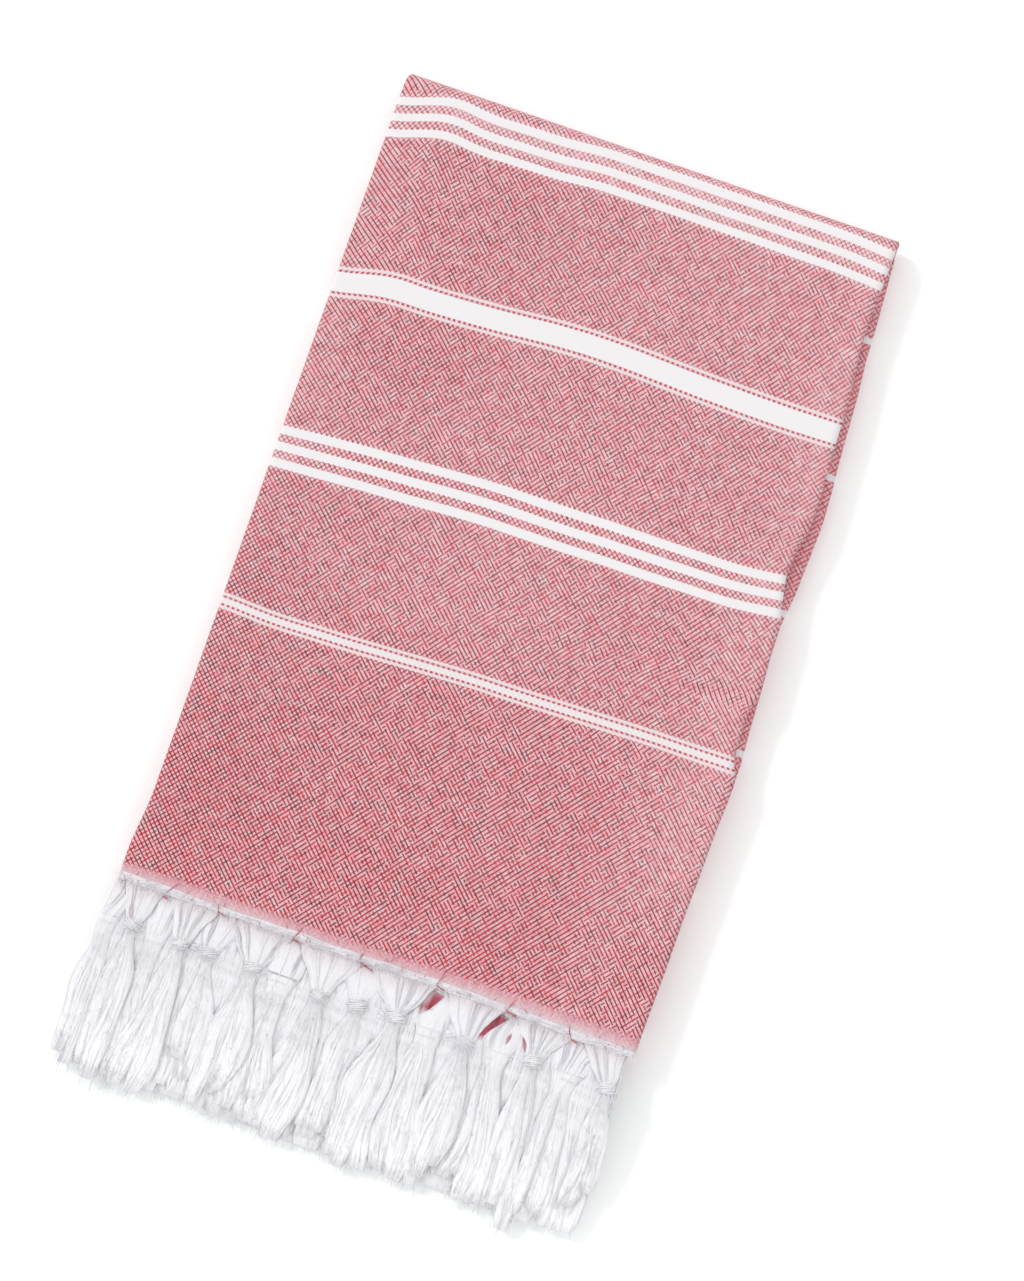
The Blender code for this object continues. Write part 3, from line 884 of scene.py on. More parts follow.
def patch_values(points):
    """Lean, cross and painted light of the weave at each point, from the table of patches,
    and edge shade, the painted shade that makes the lower plies' edges at the right redder."""
    x, y = points[..., 0] / MM, points[..., 1] / MM
    weights = np.full_like(x, PATCH_FLOOR)
    values = {name: np.zeros_like(x) for name in WEAVE_VALUES}
    for patch in PATCHES:
        weight = np.exp(-(((x - patch["x"]) / patch["reach_x"]) ** 2
                          + ((y - patch["y"]) / patch["reach_y"]) ** 2))
        weights += weight
        for name in values:
            values[name] += weight * patch[name]
    values = {name: value / weights for name, value in values.items()}
    values["edge_shade"] = soft_step(EDGE_SHADE_FROM, EDGE_SHADE_FULL, x) * (points[..., 2] < LOWER_TOP)
    return values


def closed_faces(rows, columns):
    """Faces of a sheet whose front is a grid of points and whose back is another."""
    number = np.arange(rows * columns).reshape(rows, columns)
    front = np.stack((number[:-1, :-1], number[:-1, 1:], number[1:, 1:], number[1:, :-1]),
                     axis=-1).reshape(-1, 4)
    back = front[:, ::-1] + rows * columns
    rim = [*number[0, :], *number[1:, -1], *number[-1, -2::-1], *number[-2:0:-1, 0]]
    edges = np.array(list(zip(rim, rim[1:] + rim[:1])))
    sides = np.stack((edges[:, 1], edges[:, 0], edges[:, 0] + rows * columns,
                      edges[:, 1] + rows * columns), axis=-1)
    return np.concatenate((front, back, sides))


def make_cloth(settings):
    """The whole cloth as one thin closed sheet on the folds of its solid."""
    across, along = width_path(), length_path()
    rows, columns = len(along), len(across)
    front, back = (cloth_points(across, along, side, settings.thickness) for side in (1, -1))
    points = np.concatenate([grid.reshape(-1, 3) for grid in (front, back)])
    mesh = bpy.data.meshes.new("towel_cloth_sheet")
    mesh.from_pydata(points.tolist(), [], closed_faces(rows, columns).tolist())

    middle = (front + back) / 2.0
    way = np.broadcast_to(along[:, None, 4], (rows, columns))
    drift = weft_drift(middle[..., 0], way)
    place = np.stack((np.broadcast_to(across[None, :, 4], (rows, columns)), way - drift),
                     axis=-1).reshape(-1, 2)
    corners = np.empty(len(mesh.loops), dtype=int)
    mesh.loops.foreach_get("vertex_index", corners)
    mesh.uv_layers.new(name="cloth").data.foreach_set(
        "uv", place[corners % (rows * columns)].ravel())
    for name, values in patch_values(middle).items():
        both = np.tile(values.ravel(), 2)
        mesh.attributes.new(name, "FLOAT", "POINT").data.foreach_set("value", both)

    bm = bmesh.new()
    bm.from_mesh(mesh)
    bmesh.ops.recalc_face_normals(bm, faces=bm.faces)
    bm.to_mesh(mesh)
    bm.free()
    piece = new_object("towel_cloth_sheet", mesh, striped_cotton(settings))
    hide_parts("towel_cloth")
    return piece


# ---------------------------------------------------------------- fringe


def cotton_yarn(settings):
    """Soft white cotton yarn, each strand a little lighter or duller, under painted light and
    shade down the tassels.
    """
    shades = Shades("fringe_yarn")
    inside = shades.in_piece()
    x, y, z = shades.parts(inside)
    fibre = shades.cloud(shades.vector(x, shades.times(y, 0.16), z), 1100.0, 3.0, 2.4)
    # The shade attribute holds painted light and shade as well as each strand's own tone
    light = shades.weighed(-0.15, (shades.attribute("shade"), 1.0), (fibre, 0.3), clamp=True)
    colour = shades.blend(light, settings.dull_and_shaded_yarn, settings.yarn)
    colour = shades.blend(shades.attribute("stain"), colour, settings.stain)
    shades.relief(shades.total(fibre, shades.cloud(inside, 2500.0, 2.0, 2.0)), 0.15 * MM)
    return shades.finished(colour, roughness=0.95, specular=0.1, sheen=0.6)


def red_thread(colour):
    """Crimson cotton of the few weft threads that show below the hem."""
    shades = Shades("hem_thread")
    fibre = shades.cloud(shades.in_piece(), 1500.0, 3.0, 2.5)
    paler = mixed(colour, (1.0, 1.0, 1.0), 0.4)
    shades.relief(fibre, 0.1 * MM)
    return shades.finished(shades.cover(colour, fibre, 0.5, paler), roughness=0.9,
                           specular=0.1)


class Bundle:
    """Collects round strands, and makes one mesh of them."""

    def __init__(self):
        self.points, self.faces, self.shades, self.stains = [], [], [], []
        self.count = 0

    def add(self, paths, radii, sides, facing, shade, stain=0.0):
        """Adds closed strands along paths, an array of strands by points by 3.
        facing is a direction that no path follows."""
        tangent = np.gradient(paths, axis=1)
        tangent /= np.linalg.norm(tangent, axis=-1, keepdims=True)
        side = np.cross(tangent, facing)
        side /= np.linalg.norm(side, axis=-1, keepdims=True)
        up = np.cross(side, tangent)
        angles = FULL_TURN * np.arange(sides) / sides
        ring = (np.cos(angles)[:, None] * side[:, :, None, :]
                + np.sin(angles)[:, None] * up[:, :, None, :])
        self.add_rings(paths[:, :, None, :] + radii[:, :, None, None] * ring, shade, stain)

    def add_rings(self, points, shade, stain=0.0):
        """Adds closed tubes, an array of tubes by rings by points of a ring by 3. Shade
        and stain are given for each tube, each ring or each point."""
        strands, length, sides, _ = points.shape
        number = np.arange(strands * length * sides).reshape(strands, length, sides)
        number += self.count
        turned = np.roll(number, -1, axis=2)
        quads = np.stack((number[:, :-1], number[:, 1:], turned[:, 1:], turned[:, :-1]),
                         axis=-1).reshape(-1, 4)
        self.faces += quads.tolist()
        self.faces += number[:, 0].tolist()
        self.faces += number[:, -1, ::-1].tolist()
        self.points.append(points.reshape(-1, 3))
        for values, kept in ((shade, self.shades), (stain, self.stains)):
            values = np.reshape(values, np.shape(values) + (1,) * (3 - np.ndim(values)))
            kept.append(np.broadcast_to(values, (strands, length, sides)).ravel())
        self.count += strands * length * sides

    def mesh(self, name):
        """One mesh of all the strands, with its shade and stain at each point."""
        mesh = bpy.data.meshes.new(name)
        mesh.from_pydata(np.concatenate(self.points).tolist(), [], self.faces)
        for kind, values in (("shade", self.shades), ("stain", self.stains)):
            attribute = mesh.attributes.new(kind, "FLOAT", "POINT")
            attribute.data.foreach_set("value", np.concatenate(values))
        return mesh


def tassels_of(layer):
    """The tassels of a layer, from left to right."""
    if layer >= len(LAYER_SHIFTS):
        return TOP_TASSELS if layer % 2 else NEXT_TASSELS
    first, last = NEXT_TASSELS[0]["left"] * MM, NEXT_TASSELS[-1]["right"] * MM
    tassels = []
    start = first + LAYER_SHIFTS[layer] * MM - TASSEL_PITCH
    while start < last:
        left, right = max(start, first), min(start + TASSEL_PITCH, last)
        start += TASSEL_PITCH
        if right - left < LEAST_ROOT:
            continue
        middle = (left + right) / 2.0
        shorter = RIGHT_SHORTER * float(soft_step(SHORTER_FROM, HALF_WIDTH, middle))
        row = (left / MM, right / MM, middle / MM, COVERED_KNOT,
               middle / MM * (1.0 + COVERED_SPREAD), COVERED_TIP - shorter)
        tassels.append(dict(zip(TASSEL_COLUMNS, row)))
    return tassels


def station(name, distance):
    """A column of the stations at each distance, in its own unit, softened."""
    places = column(STATIONS, "distance")
    values = column(STATIONS, name)
    return np.mean([np.interp(distance / MM + reach, places, values)
                    for reach in (-2.5, 0.0, 2.5)], axis=0)


def layer_of(bundle, slot):
    """Place of a ply in the pile of eight at the fringe, counted from below."""
    return PLIES + slot if bundle == UPPER_BUNDLE else PLIES - 1 - slot


# Distances from the hem, in mm, where a tassel has a ring of points
RINGS_ON_TOP = (-1.5, 3, 7, 11, 14.5, 17, 19, 21, 23.5, 27, 32, 38.5, 46, 54, 62, 70, 78,
                86, 94)
RINGS_BELOW = (-1.5, 5, 11, 16, 20, 24, 30, 38, 48, 58, 68, 78, 87, 94)
UPWARD = np.array((0.0, 0.0, 1.0))
LENGTHWISE = np.array((0.0, 1.0, 0.0))

# Shape of a tassel
KNOTTED_UNDER = 85.0            # mm, the length under which one below the top is knotted
ROOT_GAP = 0.6 * MM             # from a tassel's root to the next one's, halved
NEXT_RISE = 0.45                # layers by which the second layer is nearer to the top one
LOOSE_PINCH = 2.0               # waist of a tassel whose knot is hidden, to a knotted one
WAIST_REACH = 9.0 * MM
SWING = 1.5 * MM                # how far it sways from side to side below its knot
FAN_HALF_HEIGHT = 0.45 * MM
PLEAT_RISE = 0.35 * MM          # of its soft pleats between hem and knot
PLEATS = 4.0
DRAPE = 1.1 * MM                # how far the edges of its fan sink
LUMPY_FROM = 24.0 * MM          # below the hem, where its section turns uneven
LUMPY_FULL = 40.0 * MM
ROOT_STAIN = 0.16               # of the yarns where they leave the cloth
ROOT_STAIN_LENGTH = 8.0 * MM
# Painted light and shade down a tassel's yarn: painted shade where it lies flat below the
# hem and takes the most light, and painted light at its loose end, against the shade
# between its fine strands
FRINGE_PAINTED_LIGHT = table(("distance", "shade"), (
    (0.0, 0.42),
    (14.0, 0.42),
    (28.0, 0.60),
    (60.0, 0.70),
    (78.0, 0.95),
    (92.0, 1.2),
))

# Locks that a top tassel falls into below its knot, by how many there are: middle and
# share of the tassel's width
LOCKS = table(("number", "off", "share"), (
    (2, -0.46, 0.68),
    (2, 0.44, 0.70),
    (3, -0.60, 0.52),
    (3, 0.05, 0.50),
    (3, 0.60, 0.52),
))
THREE_LOCKS_OVER = 0.9          # bulk of a tassel that may fall into three
THREE_LOCKS_CHANCE = 0.75
LOCK_THICKNESS = 0.62
LOCK_LENGTH = (0.87, 1.0)
LOCK_SWING = 0.13
LOCK_PARTS_OVER = 13.0 * MM     # below the knot, until the locks have parted

# Core of a tassel or lock, which its strands lie on, to the tassel's own sizes
CORE_SIDES = 14
CORE_ANGLES = FULL_TURN * np.arange(CORE_SIDES) / CORE_SIDES
CORE_SHARE = 0.98
CORE_RISE = 1.06
CORE_LENGTH = 0.985
CORE_THINS = (0.86, 1.02)       # from where to where along it it tapers
CORE_THINNING = 0.92            # and by how much
CORE_PAST_KNOT = 5.0 * MM       # how far the part above the knot goes on below it
CORE_BEFORE_KNOT = 2.0 * MM     # how far above the knot each lock's part starts

# Strands of a tassel or lock
STRANDS_ABOVE = 0.76            # share of them that lie on its upper side
ABOVE_REACH = 0.98              # outermost place across of those, and of the others
BELOW_REACH = 0.95
STRAND_JITTER = 0.04
STRAND_DEPTH = 0.91             # least way out from the tassel's middle
STRAND_PROUD = 0.11             # how much farther out the outermost lie
FREE_FROM = 25.0 * MM           # below the knot a strand goes its own way
WANDER_FROM = 22.0 * MM         # below the hem, where a strand leaves its straight way
WANDER_FULL = 60.0 * MM
LONGEST = 1.045                 # of a strand, to the tassel's length
LENGTH_RANGE = 0.15
STRAND_DRIFT = 0.32             # how far it turns round the tassel below the knot
FAN_INWARD = (0.03, 0.3)        # how much nearer to the middle it is at the hem
FAN_SINK = 0.14                 # and how much nearer to it in height
STRAND_WAVE = 0.18 * MM         # up and down
STRAND_THICKNESS = (0.75, 1.25) # to the yarn's radius
TIP_THINNING = 0.45             # share of its thickness that it loses at its tip
SHADE_RANGE = 0.15              # how much lighter or duller one strand may be

# Knots
KNOT_LENGTH = 3.6 * MM          # from the middle of a knot to its end
KNOT_HALF_WIDTH = 4.3 * MM
KNOT_HALF_HEIGHT = 2.9 * MM
KNOT_INSIDE = 0.9               # size of the lump below the turns of yarn
KNOT_SIZES = (0.92, 1.12)
LEAST_KNOT = 0.75               # bulk of a tassel whose knot is the smallest
TOP_TURNS = (7, 14, 4)          # turns of yarn, steps along each and sides of the yarn
COVERED_TURNS = (4, 9, 3)
TURN_OVERLAP = 0.4              # radians
TURN_REACH = 0.72               # of the outermost turns, to the knot's length
TURN_THICKNESS = (1.6, 3.0)     # to the yarn's radius

# Loose locks behind the tassels
LOOSE_LAYER = 6.4               # their height, in layers
LOOSE_PITCH = 10.3 * MM
LOOSE_HALF_ROOT = 6.0           # mm
LOOSE_HALF_WIDTH = 6.4 * MM
LOOSE_HALF_HEIGHT = 0.7 * MM
LOOSE_ENDS = (-119.5 * MM, 118.0 * MM)
LOOSE_TIP = (82.0 * MM, 92.0 * MM)
LOOSE_STRANDS = 14
# Partings between the upper tassels, where stained yarn shows: a line from one place
# across to another, half its width, the distances from the hem where it opens and
# closes, all in mm, and the stain in it
PARTINGS = table(("x", "to_x", "half_width", "opens", "closes", "stain"), (
    (33.8, 27.2, 1.9, 0.3, 13.5, 0.95),
    (65.5, 55.0, 2.4, 0.0, 15.0, 0.95),
))
PARTING_LEAST = 0.01 * MM       # half width under which it counts as closed
PARTING_SQUEEZE = 0.75          # how much room the yarn beside it keeps
# Small tufts of stained yarn on the top tassels, by their layer and their number in it:
# where they lie across it, and from which to which distance from the hem in mm
TUFTS = table(("layer", "tassel", "across", "opens", "closes", "stain"), (
    (7, 6, -0.88, 8.5, 15.5, 0.85),
    (6, 6, 0.28, 8.0, 15.0, 0.9),
    (7, 0, -0.45, 9.0, 16.0, 0.3),
))
TUFT_YARNS = 5
TUFT_WIDTH = 1.5 * MM
TUFT_RADIUS = 0.24              # mm
TUFT_RISE = 0.15 * MM

# Loose white yarns along the hem, and their middle, in mm
HEM_LINE = table(("x", "y"), (
    (-128.0, -202.6),
    (-77.0, -203.1),
    (40.0, -203.2),
    (71.0, -203.6),
    (100.0, -205.0),
    (126.6, -204.4),
))
HEM_YARNS = 8
HEM_YARN_RADIUS = 0.5 * MM
HEM_YARN_SPREAD = 1.15 * MM
HEM_YARN_POINTS = 150
HEM_TOP = ((UPPER_BUNDLE + 0.5) * BUNDLE_PITCH - STACK_DROP
           + (PLIES / 2.0 - 0.5) * PLY_PITCH)

# Stray fibres: how many on the hem, at each knot and on the rest of each top tassel
HEM_FUZZ = 800
KNOT_FUZZ = 36
BODY_FUZZ = 70
FUZZ_RADIUS = 0.1 * MM
HEM_FUZZ_HEIGHT = 0.9 * MM      # of its roots over the hem
HEM_FUZZ_LENGTH = (2.0 * MM, 6.0 * MM)
TASSEL_FUZZ_LENGTH = (3.0 * MM, 9.0 * MM)

# Short crimson threads at the hem, where two top tassels part: the middle and length
# of the one that lies across, and how far another runs up the cloth, in mm, and its lean
DASHES = table(("x", "y", "length", "up", "lean"), (
    (-103.0, -206.4, 3.0, 8.5, 0.7),
    (-75.0, -205.0, 5.0, 3.5, -0.3),
    (-38.5, -205.7, 5.0, 6.5, 0.5),
    (-4.6, -206.1, 7.5, 4.5, 0.2),
    (31.8, -204.5, 4.7, 7.5, 0.3),
    (66.6, -205.1, 6.0, 6.0, 0.4),
    (98.3, -207.6, 3.8, 6.0, -0.4),
))
DASH_THREADS = 3                # side by side across
DASH_SLOPE = -0.12              # of those
THREAD_HEIGHT = 1.1 * MM        # over the hem
HEM_TICKS = 46                  # shorter ones all along the hem


def opening(parting, distance):
    """Middle of a parting at each distance from the hem, and half its width there."""
    share = (distance / MM - parting["opens"]) / (parting["closes"] - parting["opens"])
    share = np.clip(share, 0.0, 1.0)
    middle = (parting["x"] + (parting["to_x"] - parting["x"]) * share) * MM
    return middle, parting["half_width"] * MM * np.sin(np.pi * share ** 0.6) ** 0.6


def parted(x, distance, centre):
    """Keeps a tassel's points on its own side of each parting."""
    for parting in PARTINGS:
        middle, gap = opening(parting, distance)
        side = 1.0 if centre > (parting["x"] + parting["to_x"]) / 2.0 * MM else -1.0
        off = (x - middle) * side
        aside = gap + PARTING_SQUEEZE * np.clip(off, 0.0, None)
        x = middle + side * np.where((gap > PARTING_LEAST) & (off < 4.0 * gap), aside, off)
    return x


def fringe_painted_light_at(distance):
    """Painted light and shade of the yarn at each distance from the hem."""
    return np.interp(distance / MM, column(FRINGE_PAINTED_LIGHT, "distance"), column(FRINGE_PAINTED_LIGHT, "shade"))


def stain_at(x, distance):
    """Stain of the loose locks, in the partings above them."""
    stain = 0.0 * x
    for parting in PARTINGS:
        middle, gap = opening(parting, distance)
        off = (x - middle) / (2.0 * parting["half_width"] * MM)
        stain = np.maximum(stain, parting["stain"] * np.exp(-off ** 4) * (gap > PARTING_LEAST))
    return stain


class Tassel:
    """The place and size of one tassel at each distance down from its hem."""

    def __init__(self, shape, layer, hem, root_height, rng):
        self.on_top = layer >= len(LAYER_SHIFTS)
        self.knotted = layer == LAYERS - 1 or shape["tip_distance"] < KNOTTED_UNDER
        self.level = layer + 0.5 + (NEXT_RISE if layer == LAYERS - 2 else 0.0)
        self.rings = np.array(RINGS_ON_TOP if self.on_top else RINGS_BELOW) * MM
        self.hem = hem
        self.root_height = root_height
        self.root = (shape["left"] + shape["right"]) / 2.0 * MM
        self.root_half = (shape["right"] - shape["left"]) / 2.0 * MM - ROOT_GAP
        self.bulk = min(math.sqrt((shape["right"] - shape["left"]) * MM / FULL_ROOT), 1.0)
        self.knot = shape["knot_distance"] * MM
        self.length = shape["tip_distance"] * MM - rng.uniform(0.0, TIP_JITTER)
        self.knot_x = shape["knot"] * MM + rng.uniform(-KNOT_JITTER, KNOT_JITTER)
        self.tip_x = shape["tip"] * MM + rng.uniform(-KNOT_JITTER, KNOT_JITTER)
        self.sway = rng.uniform(0.0, FULL_TURN)
        self.fullness = rng.uniform(0.9, 1.22)
        self.bend = rng.uniform(-2.2, 2.2) * MM
        self.locks = [None]
        if self.on_top:
            three = self.bulk > THREE_LOCKS_OVER and rng.uniform() < THREE_LOCKS_CHANCE
            number = 3 if three else 2
            self.locks = [dict(row, off=row["off"] + rng.uniform(-0.08, 0.08),
                               lift=rng.uniform(-0.5, 0.5),
                               sway=rng.uniform(0.0, FULL_TURN),
                               length=self.length * rng.uniform(*LOCK_LENGTH))
                          for row in LOCKS if row["number"] == number]
            self.locks[rng.integers(number)]["length"] = self.length

    def fan(self, distance):
        """1 at the hem and 0 from the knot on."""
        return np.clip(1.0 - distance / self.knot, 0.0, 1.0)

    def stain(self, x, distance):
        """How much of the cloth's dye the yarn took up."""
        return ROOT_STAIN * (1.0 - soft_step(0.0, ROOT_STAIN_LENGTH, distance)) + 0.0 * x

    def sizes(self, distance, settled):
        """Half its width and half its height."""
        waist = np.exp(-((distance - self.knot) / WAIST_REACH) ** 2)
        pinch = 1.0 + (0.0 if self.knotted else LOOSE_PINCH - 1.0) * waist
        pinch = pinch * (1.0 + (self.fullness - 1.0) * settled)
        return (self.bulk * pinch * station("half_width", distance) * MM,
                self.bulk * station("half_height", distance) * MM)

    def centre(self, distance, settled):
        """Place across of its middle, from its knot down."""
        centre = self.knot_x + (self.tip_x - self.knot_x) * settled
        centre = centre + SWING * ripple(distance, 12.0 * MM, self.sway) * settled
        return centre + self.bend * np.sin(np.pi * np.clip(settled, 0.0, 1.0))

    def lumps(self, distance, turn):
        """How much farther out its surface is at each turn round it, below the knot."""
        lump = (0.09 * ripple(distance, 7.5 * MM, 3.0 * self.sway)
                + 0.10 * np.sin(2.0 * turn + self.sway + distance / 0.011)
                + 0.05 * np.sin(5.0 * turn + 2.0 * self.sway - distance / 0.006))
        return 1.0 + lump * soft_step(LUMPY_FROM, LUMPY_FULL, distance)

    def in_lock(self, lock, distance, across, upward):
        """Place in the tassel's section of a place in a lock's own one."""
        share = soft_step(self.knot, self.knot + LOCK_PARTS_OVER, distance)
        off = lock["off"] + LOCK_SWING * ripple(distance, 13.0 * MM, lock["sway"])
        return (across + (off + (lock["share"] - 1.0) * across) * share,
                upward + (lock["lift"] + (LOCK_THICKNESS - 1.0) * upward) * share)

    def point(self, distance, across, upward, lock=None):
        """A point of its section, or of one of its locks': across and upward are -1 to
        1 at its surface."""
        if lock is not None:
            across, upward = self.in_lock(lock, distance, across, upward)
        fan = self.fan(distance)
        settled = station("settled", distance)
        half, rise = self.sizes(distance, settled)
        lump = self.lumps(distance, np.arctan2(upward, across))
        across = across * lump
        upward = upward * lump
        bell = 4.0 * fan * (1.0 - fan)
        x = (fan * (self.root + self.root_half * across)
             + (1.0 - fan) * (self.centre(distance, settled) + half * across))
        x = x + 0.06 * ripple(distance, 2.6 * MM, self.sway) * bell * self.root_half * across
        if self.on_top:
            x = parted(x, distance, self.knot_x)
        pleat = np.sin(np.pi * PLEATS * (across + 0.08 * np.sin(5.0 * across + self.sway))
                       + 2.0 * self.sway)
        height = station("lift", distance) + self.level * station("layer", distance)
        z = (fan * (self.root_height + FAN_HALF_HEIGHT * upward)
             + (1.0 - fan) * (height * MM + rise * upward)
             + bell * (PLEAT_RISE * pleat - DRAPE * np.abs(across) ** 3))
        y = self.hem * fan + FRINGE_FROM * (1.0 - fan) - distance
        return np.stack((x, y, z), axis=-1)


class LooseLock(Tassel):
    """A lock of yarn with no knot, behind the tassels."""

    def sizes(self, distance, settled):
        return (LOOSE_HALF_WIDTH * self.fullness + 0.0 * distance,
                LOOSE_HALF_HEIGHT + 0.0 * distance)

    def stain(self, x, distance):
        return np.maximum(Tassel.stain(self, x, distance), stain_at(x, distance))


def add_core(bundle, tassel):
    """The soft inside of a tassel, which its strands lie on. A top tassel has one from
    its hem to its knot, and one for each lock below."""
    rings = tassel.rings
    parts = [(None, rings * CORE_LENGTH * tassel.length / rings[-1])]
    if tassel.on_top:
        parts = [(None, rings[rings < tassel.knot + CORE_PAST_KNOT])]
        lower = rings[rings > tassel.knot - CORE_BEFORE_KNOT]
        for lock in tassel.locks:
            stretch = (CORE_LENGTH * lock["length"] - lower[0]) / (lower[-1] - lower[0])
            parts.append((lock, lower[0] + (lower - lower[0]) * stretch))
    for lock, stops in parts:
        thin = np.ones((len(stops), 1))
        if lock is not None or not tassel.on_top:
            thinned = soft_step(*CORE_THINS, stops / stops[-1]) * CORE_THINNING
            thin = np.sqrt(1.0 - thinned)[:, None]
        points = tassel.point(stops[:, None] + 0.0 * CORE_ANGLES,
                              CORE_SHARE * (0.5 * thin + 0.5) * np.cos(CORE_ANGLES),
                              CORE_RISE * thin * np.sin(CORE_ANGLES), lock)
        points[..., 2] = np.maximum(points[..., 2], 0.0)
        stain = tassel.stain(points[..., 0], stops[:, None])
        # The core carries the painted light and shade down the tassel
        bundle.add_rings(settle(points)[None], fringe_painted_light_at(stops)[None], stain[None])


def add_strands(bundle, tassel, count, yarn_radius, rng, lock=None):
    """The strands that show on a tassel or a lock, most of them on its upper side."""
    one_each = (count, 1)
    above = int(round(count * STRANDS_ABOVE))
    across = np.concatenate((np.linspace(-ABOVE_REACH, ABOVE_REACH, above),
                             np.linspace(-BELOW_REACH, BELOW_REACH, count - above)))
    across = across + rng.uniform(-STRAND_JITTER, STRAND_JITTER, count)
    across = np.clip(across, -0.99, 0.99)
    upward = np.sqrt(1.0 - across ** 2) * np.where(np.arange(count) < above, 1.0, -1.0)
    angle = np.arctan2(upward, across)[:, None]
    out = (STRAND_DEPTH + STRAND_PROUD * rng.uniform(0.0, 1.0, count) ** 2)[:, None]

    rings = tassel.rings
    full = tassel.length if lock is None else lock["length"]
    own_length = full * (LONGEST - LENGTH_RANGE * rng.uniform(0.0, 1.0, one_each))
    below_knot = np.clip(rings - FREE_FROM, 0.0, None) / (rings[-1] - FREE_FROM)
    distance = np.where(rings > FREE_FROM,
                        FREE_FROM + below_knot * (own_length - FREE_FROM), rings + 0.0 * angle)
    loose = soft_step(WANDER_FROM, WANDER_FULL, distance)
    drift = rng.normal(0.0, STRAND_DRIFT, one_each) * loose
    phases = rng.uniform(0.0, FULL_TURN, (3, count, 1))
    wave = (0.07 * ripple(distance, 5.5 * MM, phases[0])
            + 0.12 * ripple(distance, 12.0 * MM, phases[1]))
    angle = angle + drift + wave * loose
    fan = soft_step(0.0, 0.5, tassel.fan(distance))
    inward = 1.0 - fan * rng.uniform(*FAN_INWARD, one_each)
    points = tassel.point(distance, out * inward * np.cos(angle),
                          out * (1.0 - FAN_SINK * fan) * np.sin(angle), lock)
    points[..., 2] += STRAND_WAVE * loose * ripple(distance, 4.7 * MM, phases[2])
    radius = yarn_radius * rng.uniform(*STRAND_THICKNESS, one_each)
    radii = radius * (1.0 - TIP_THINNING * soft_step(0.8, 1.0, distance / own_length))
    points[..., 2] = np.maximum(points[..., 2], radii)
    # Painted light and shade down the tassel, and a random lighter or duller strand
    shade = fringe_painted_light_at(distance) + rng.uniform(-SHADE_RANGE, SHADE_RANGE, one_each)
    bundle.add(settle(points), radii, 3, UPWARD, shade, tassel.stain(points[..., 0], distance))


def add_knot(bundle, tassel, settings, rng):
    """The knot: a soft lump with turns of yarn over it, aslant and uneven."""
    size = max(tassel.bulk, LEAST_KNOT) * rng.uniform(*KNOT_SIZES)
    middle = tassel.point(np.array(tassel.knot), 0.0, 0.0)
    half_width, half_height = KNOT_HALF_WIDTH * size, KNOT_HALF_HEIGHT * size
    rings = np.linspace(-0.97, 0.97, 9)
    round_off = np.sqrt(1.0 - rings ** 2)[:, None]
    lump = np.stack(np.broadcast_arrays(
        KNOT_INSIDE * half_width * round_off * np.cos(CORE_ANGLES),
        -KNOT_LENGTH * size * rings[:, None],
        KNOT_INSIDE * half_height * round_off * np.sin(CORE_ANGLES)), axis=-1)
    bundle.add_rings(settle(middle + lump)[None], 0.5)
    turns, steps, sides = TOP_TURNS if tassel.on_top else COVERED_TURNS
    one_each = (turns, 1)
    angle = np.linspace(-TURN_OVERLAP, FULL_TURN + TURN_OVERLAP, steps)
    offset = np.linspace(-TURN_REACH, TURN_REACH, turns)[:, None]
    spin = angle + rng.uniform(-0.3, 0.3, one_each) + rng.uniform(0.0, FULL_TURN)
    lean = rng.choice((-1.0, 1.0)) * rng.uniform(0.35, 0.75)
    lean = lean + rng.uniform(-0.12, 0.12, one_each)
    place = offset + lean * np.sin(spin) * (1.0 - offset ** 2)
    dome = np.sqrt(np.clip(1.0 - place ** 2, 0.05, 1.0))
    dome = dome * (1.0 + rng.uniform(-0.05, 0.08, one_each))
    wound = np.stack((half_width * dome * np.sin(spin), -KNOT_LENGTH * size * place,
                      half_height * dome * np.cos(spin)), axis=-1)
    radii = settings.yarn_radius * rng.uniform(*TURN_THICKNESS, one_each) + 0.0 * place
    bundle.add(settle(middle + wound), radii, sides, LENGTHWISE,
               rng.uniform(0.35, 0.7, turns))


def add_tuft(bundle, tassel, tuft, rng):
    """Short stained yarns side by side on a tassel."""
    stops = np.linspace(0.0, 1.0, 7)
    distance = (tuft["opens"] + (tuft["closes"] - tuft["opens"]) * stops) * MM
    middle = tassel.point(distance, tuft["across"], math.sqrt(1.0 - tuft["across"] ** 2))
    off = np.linspace(-0.5, 0.5, TUFT_YARNS)[:, None] * TUFT_WIDTH * np.sin(np.pi * stops) ** 0.7
    paths = np.repeat(middle[None], TUFT_YARNS, axis=0)
    paths[..., 0] += off + rng.uniform(-0.1, 0.1, (TUFT_YARNS, 1)) * MM
    paths[..., 2] += TUFT_RISE
    radii = (TUFT_RADIUS * np.sin(np.pi * (0.06 + 0.88 * stops)) * MM) + 0.0 * off
    bundle.add(settle(paths), radii, 4, UPWARD, 0.3,
               tuft["stain"] * (1.0 - 0.4 * stops) + 0.0 * off)


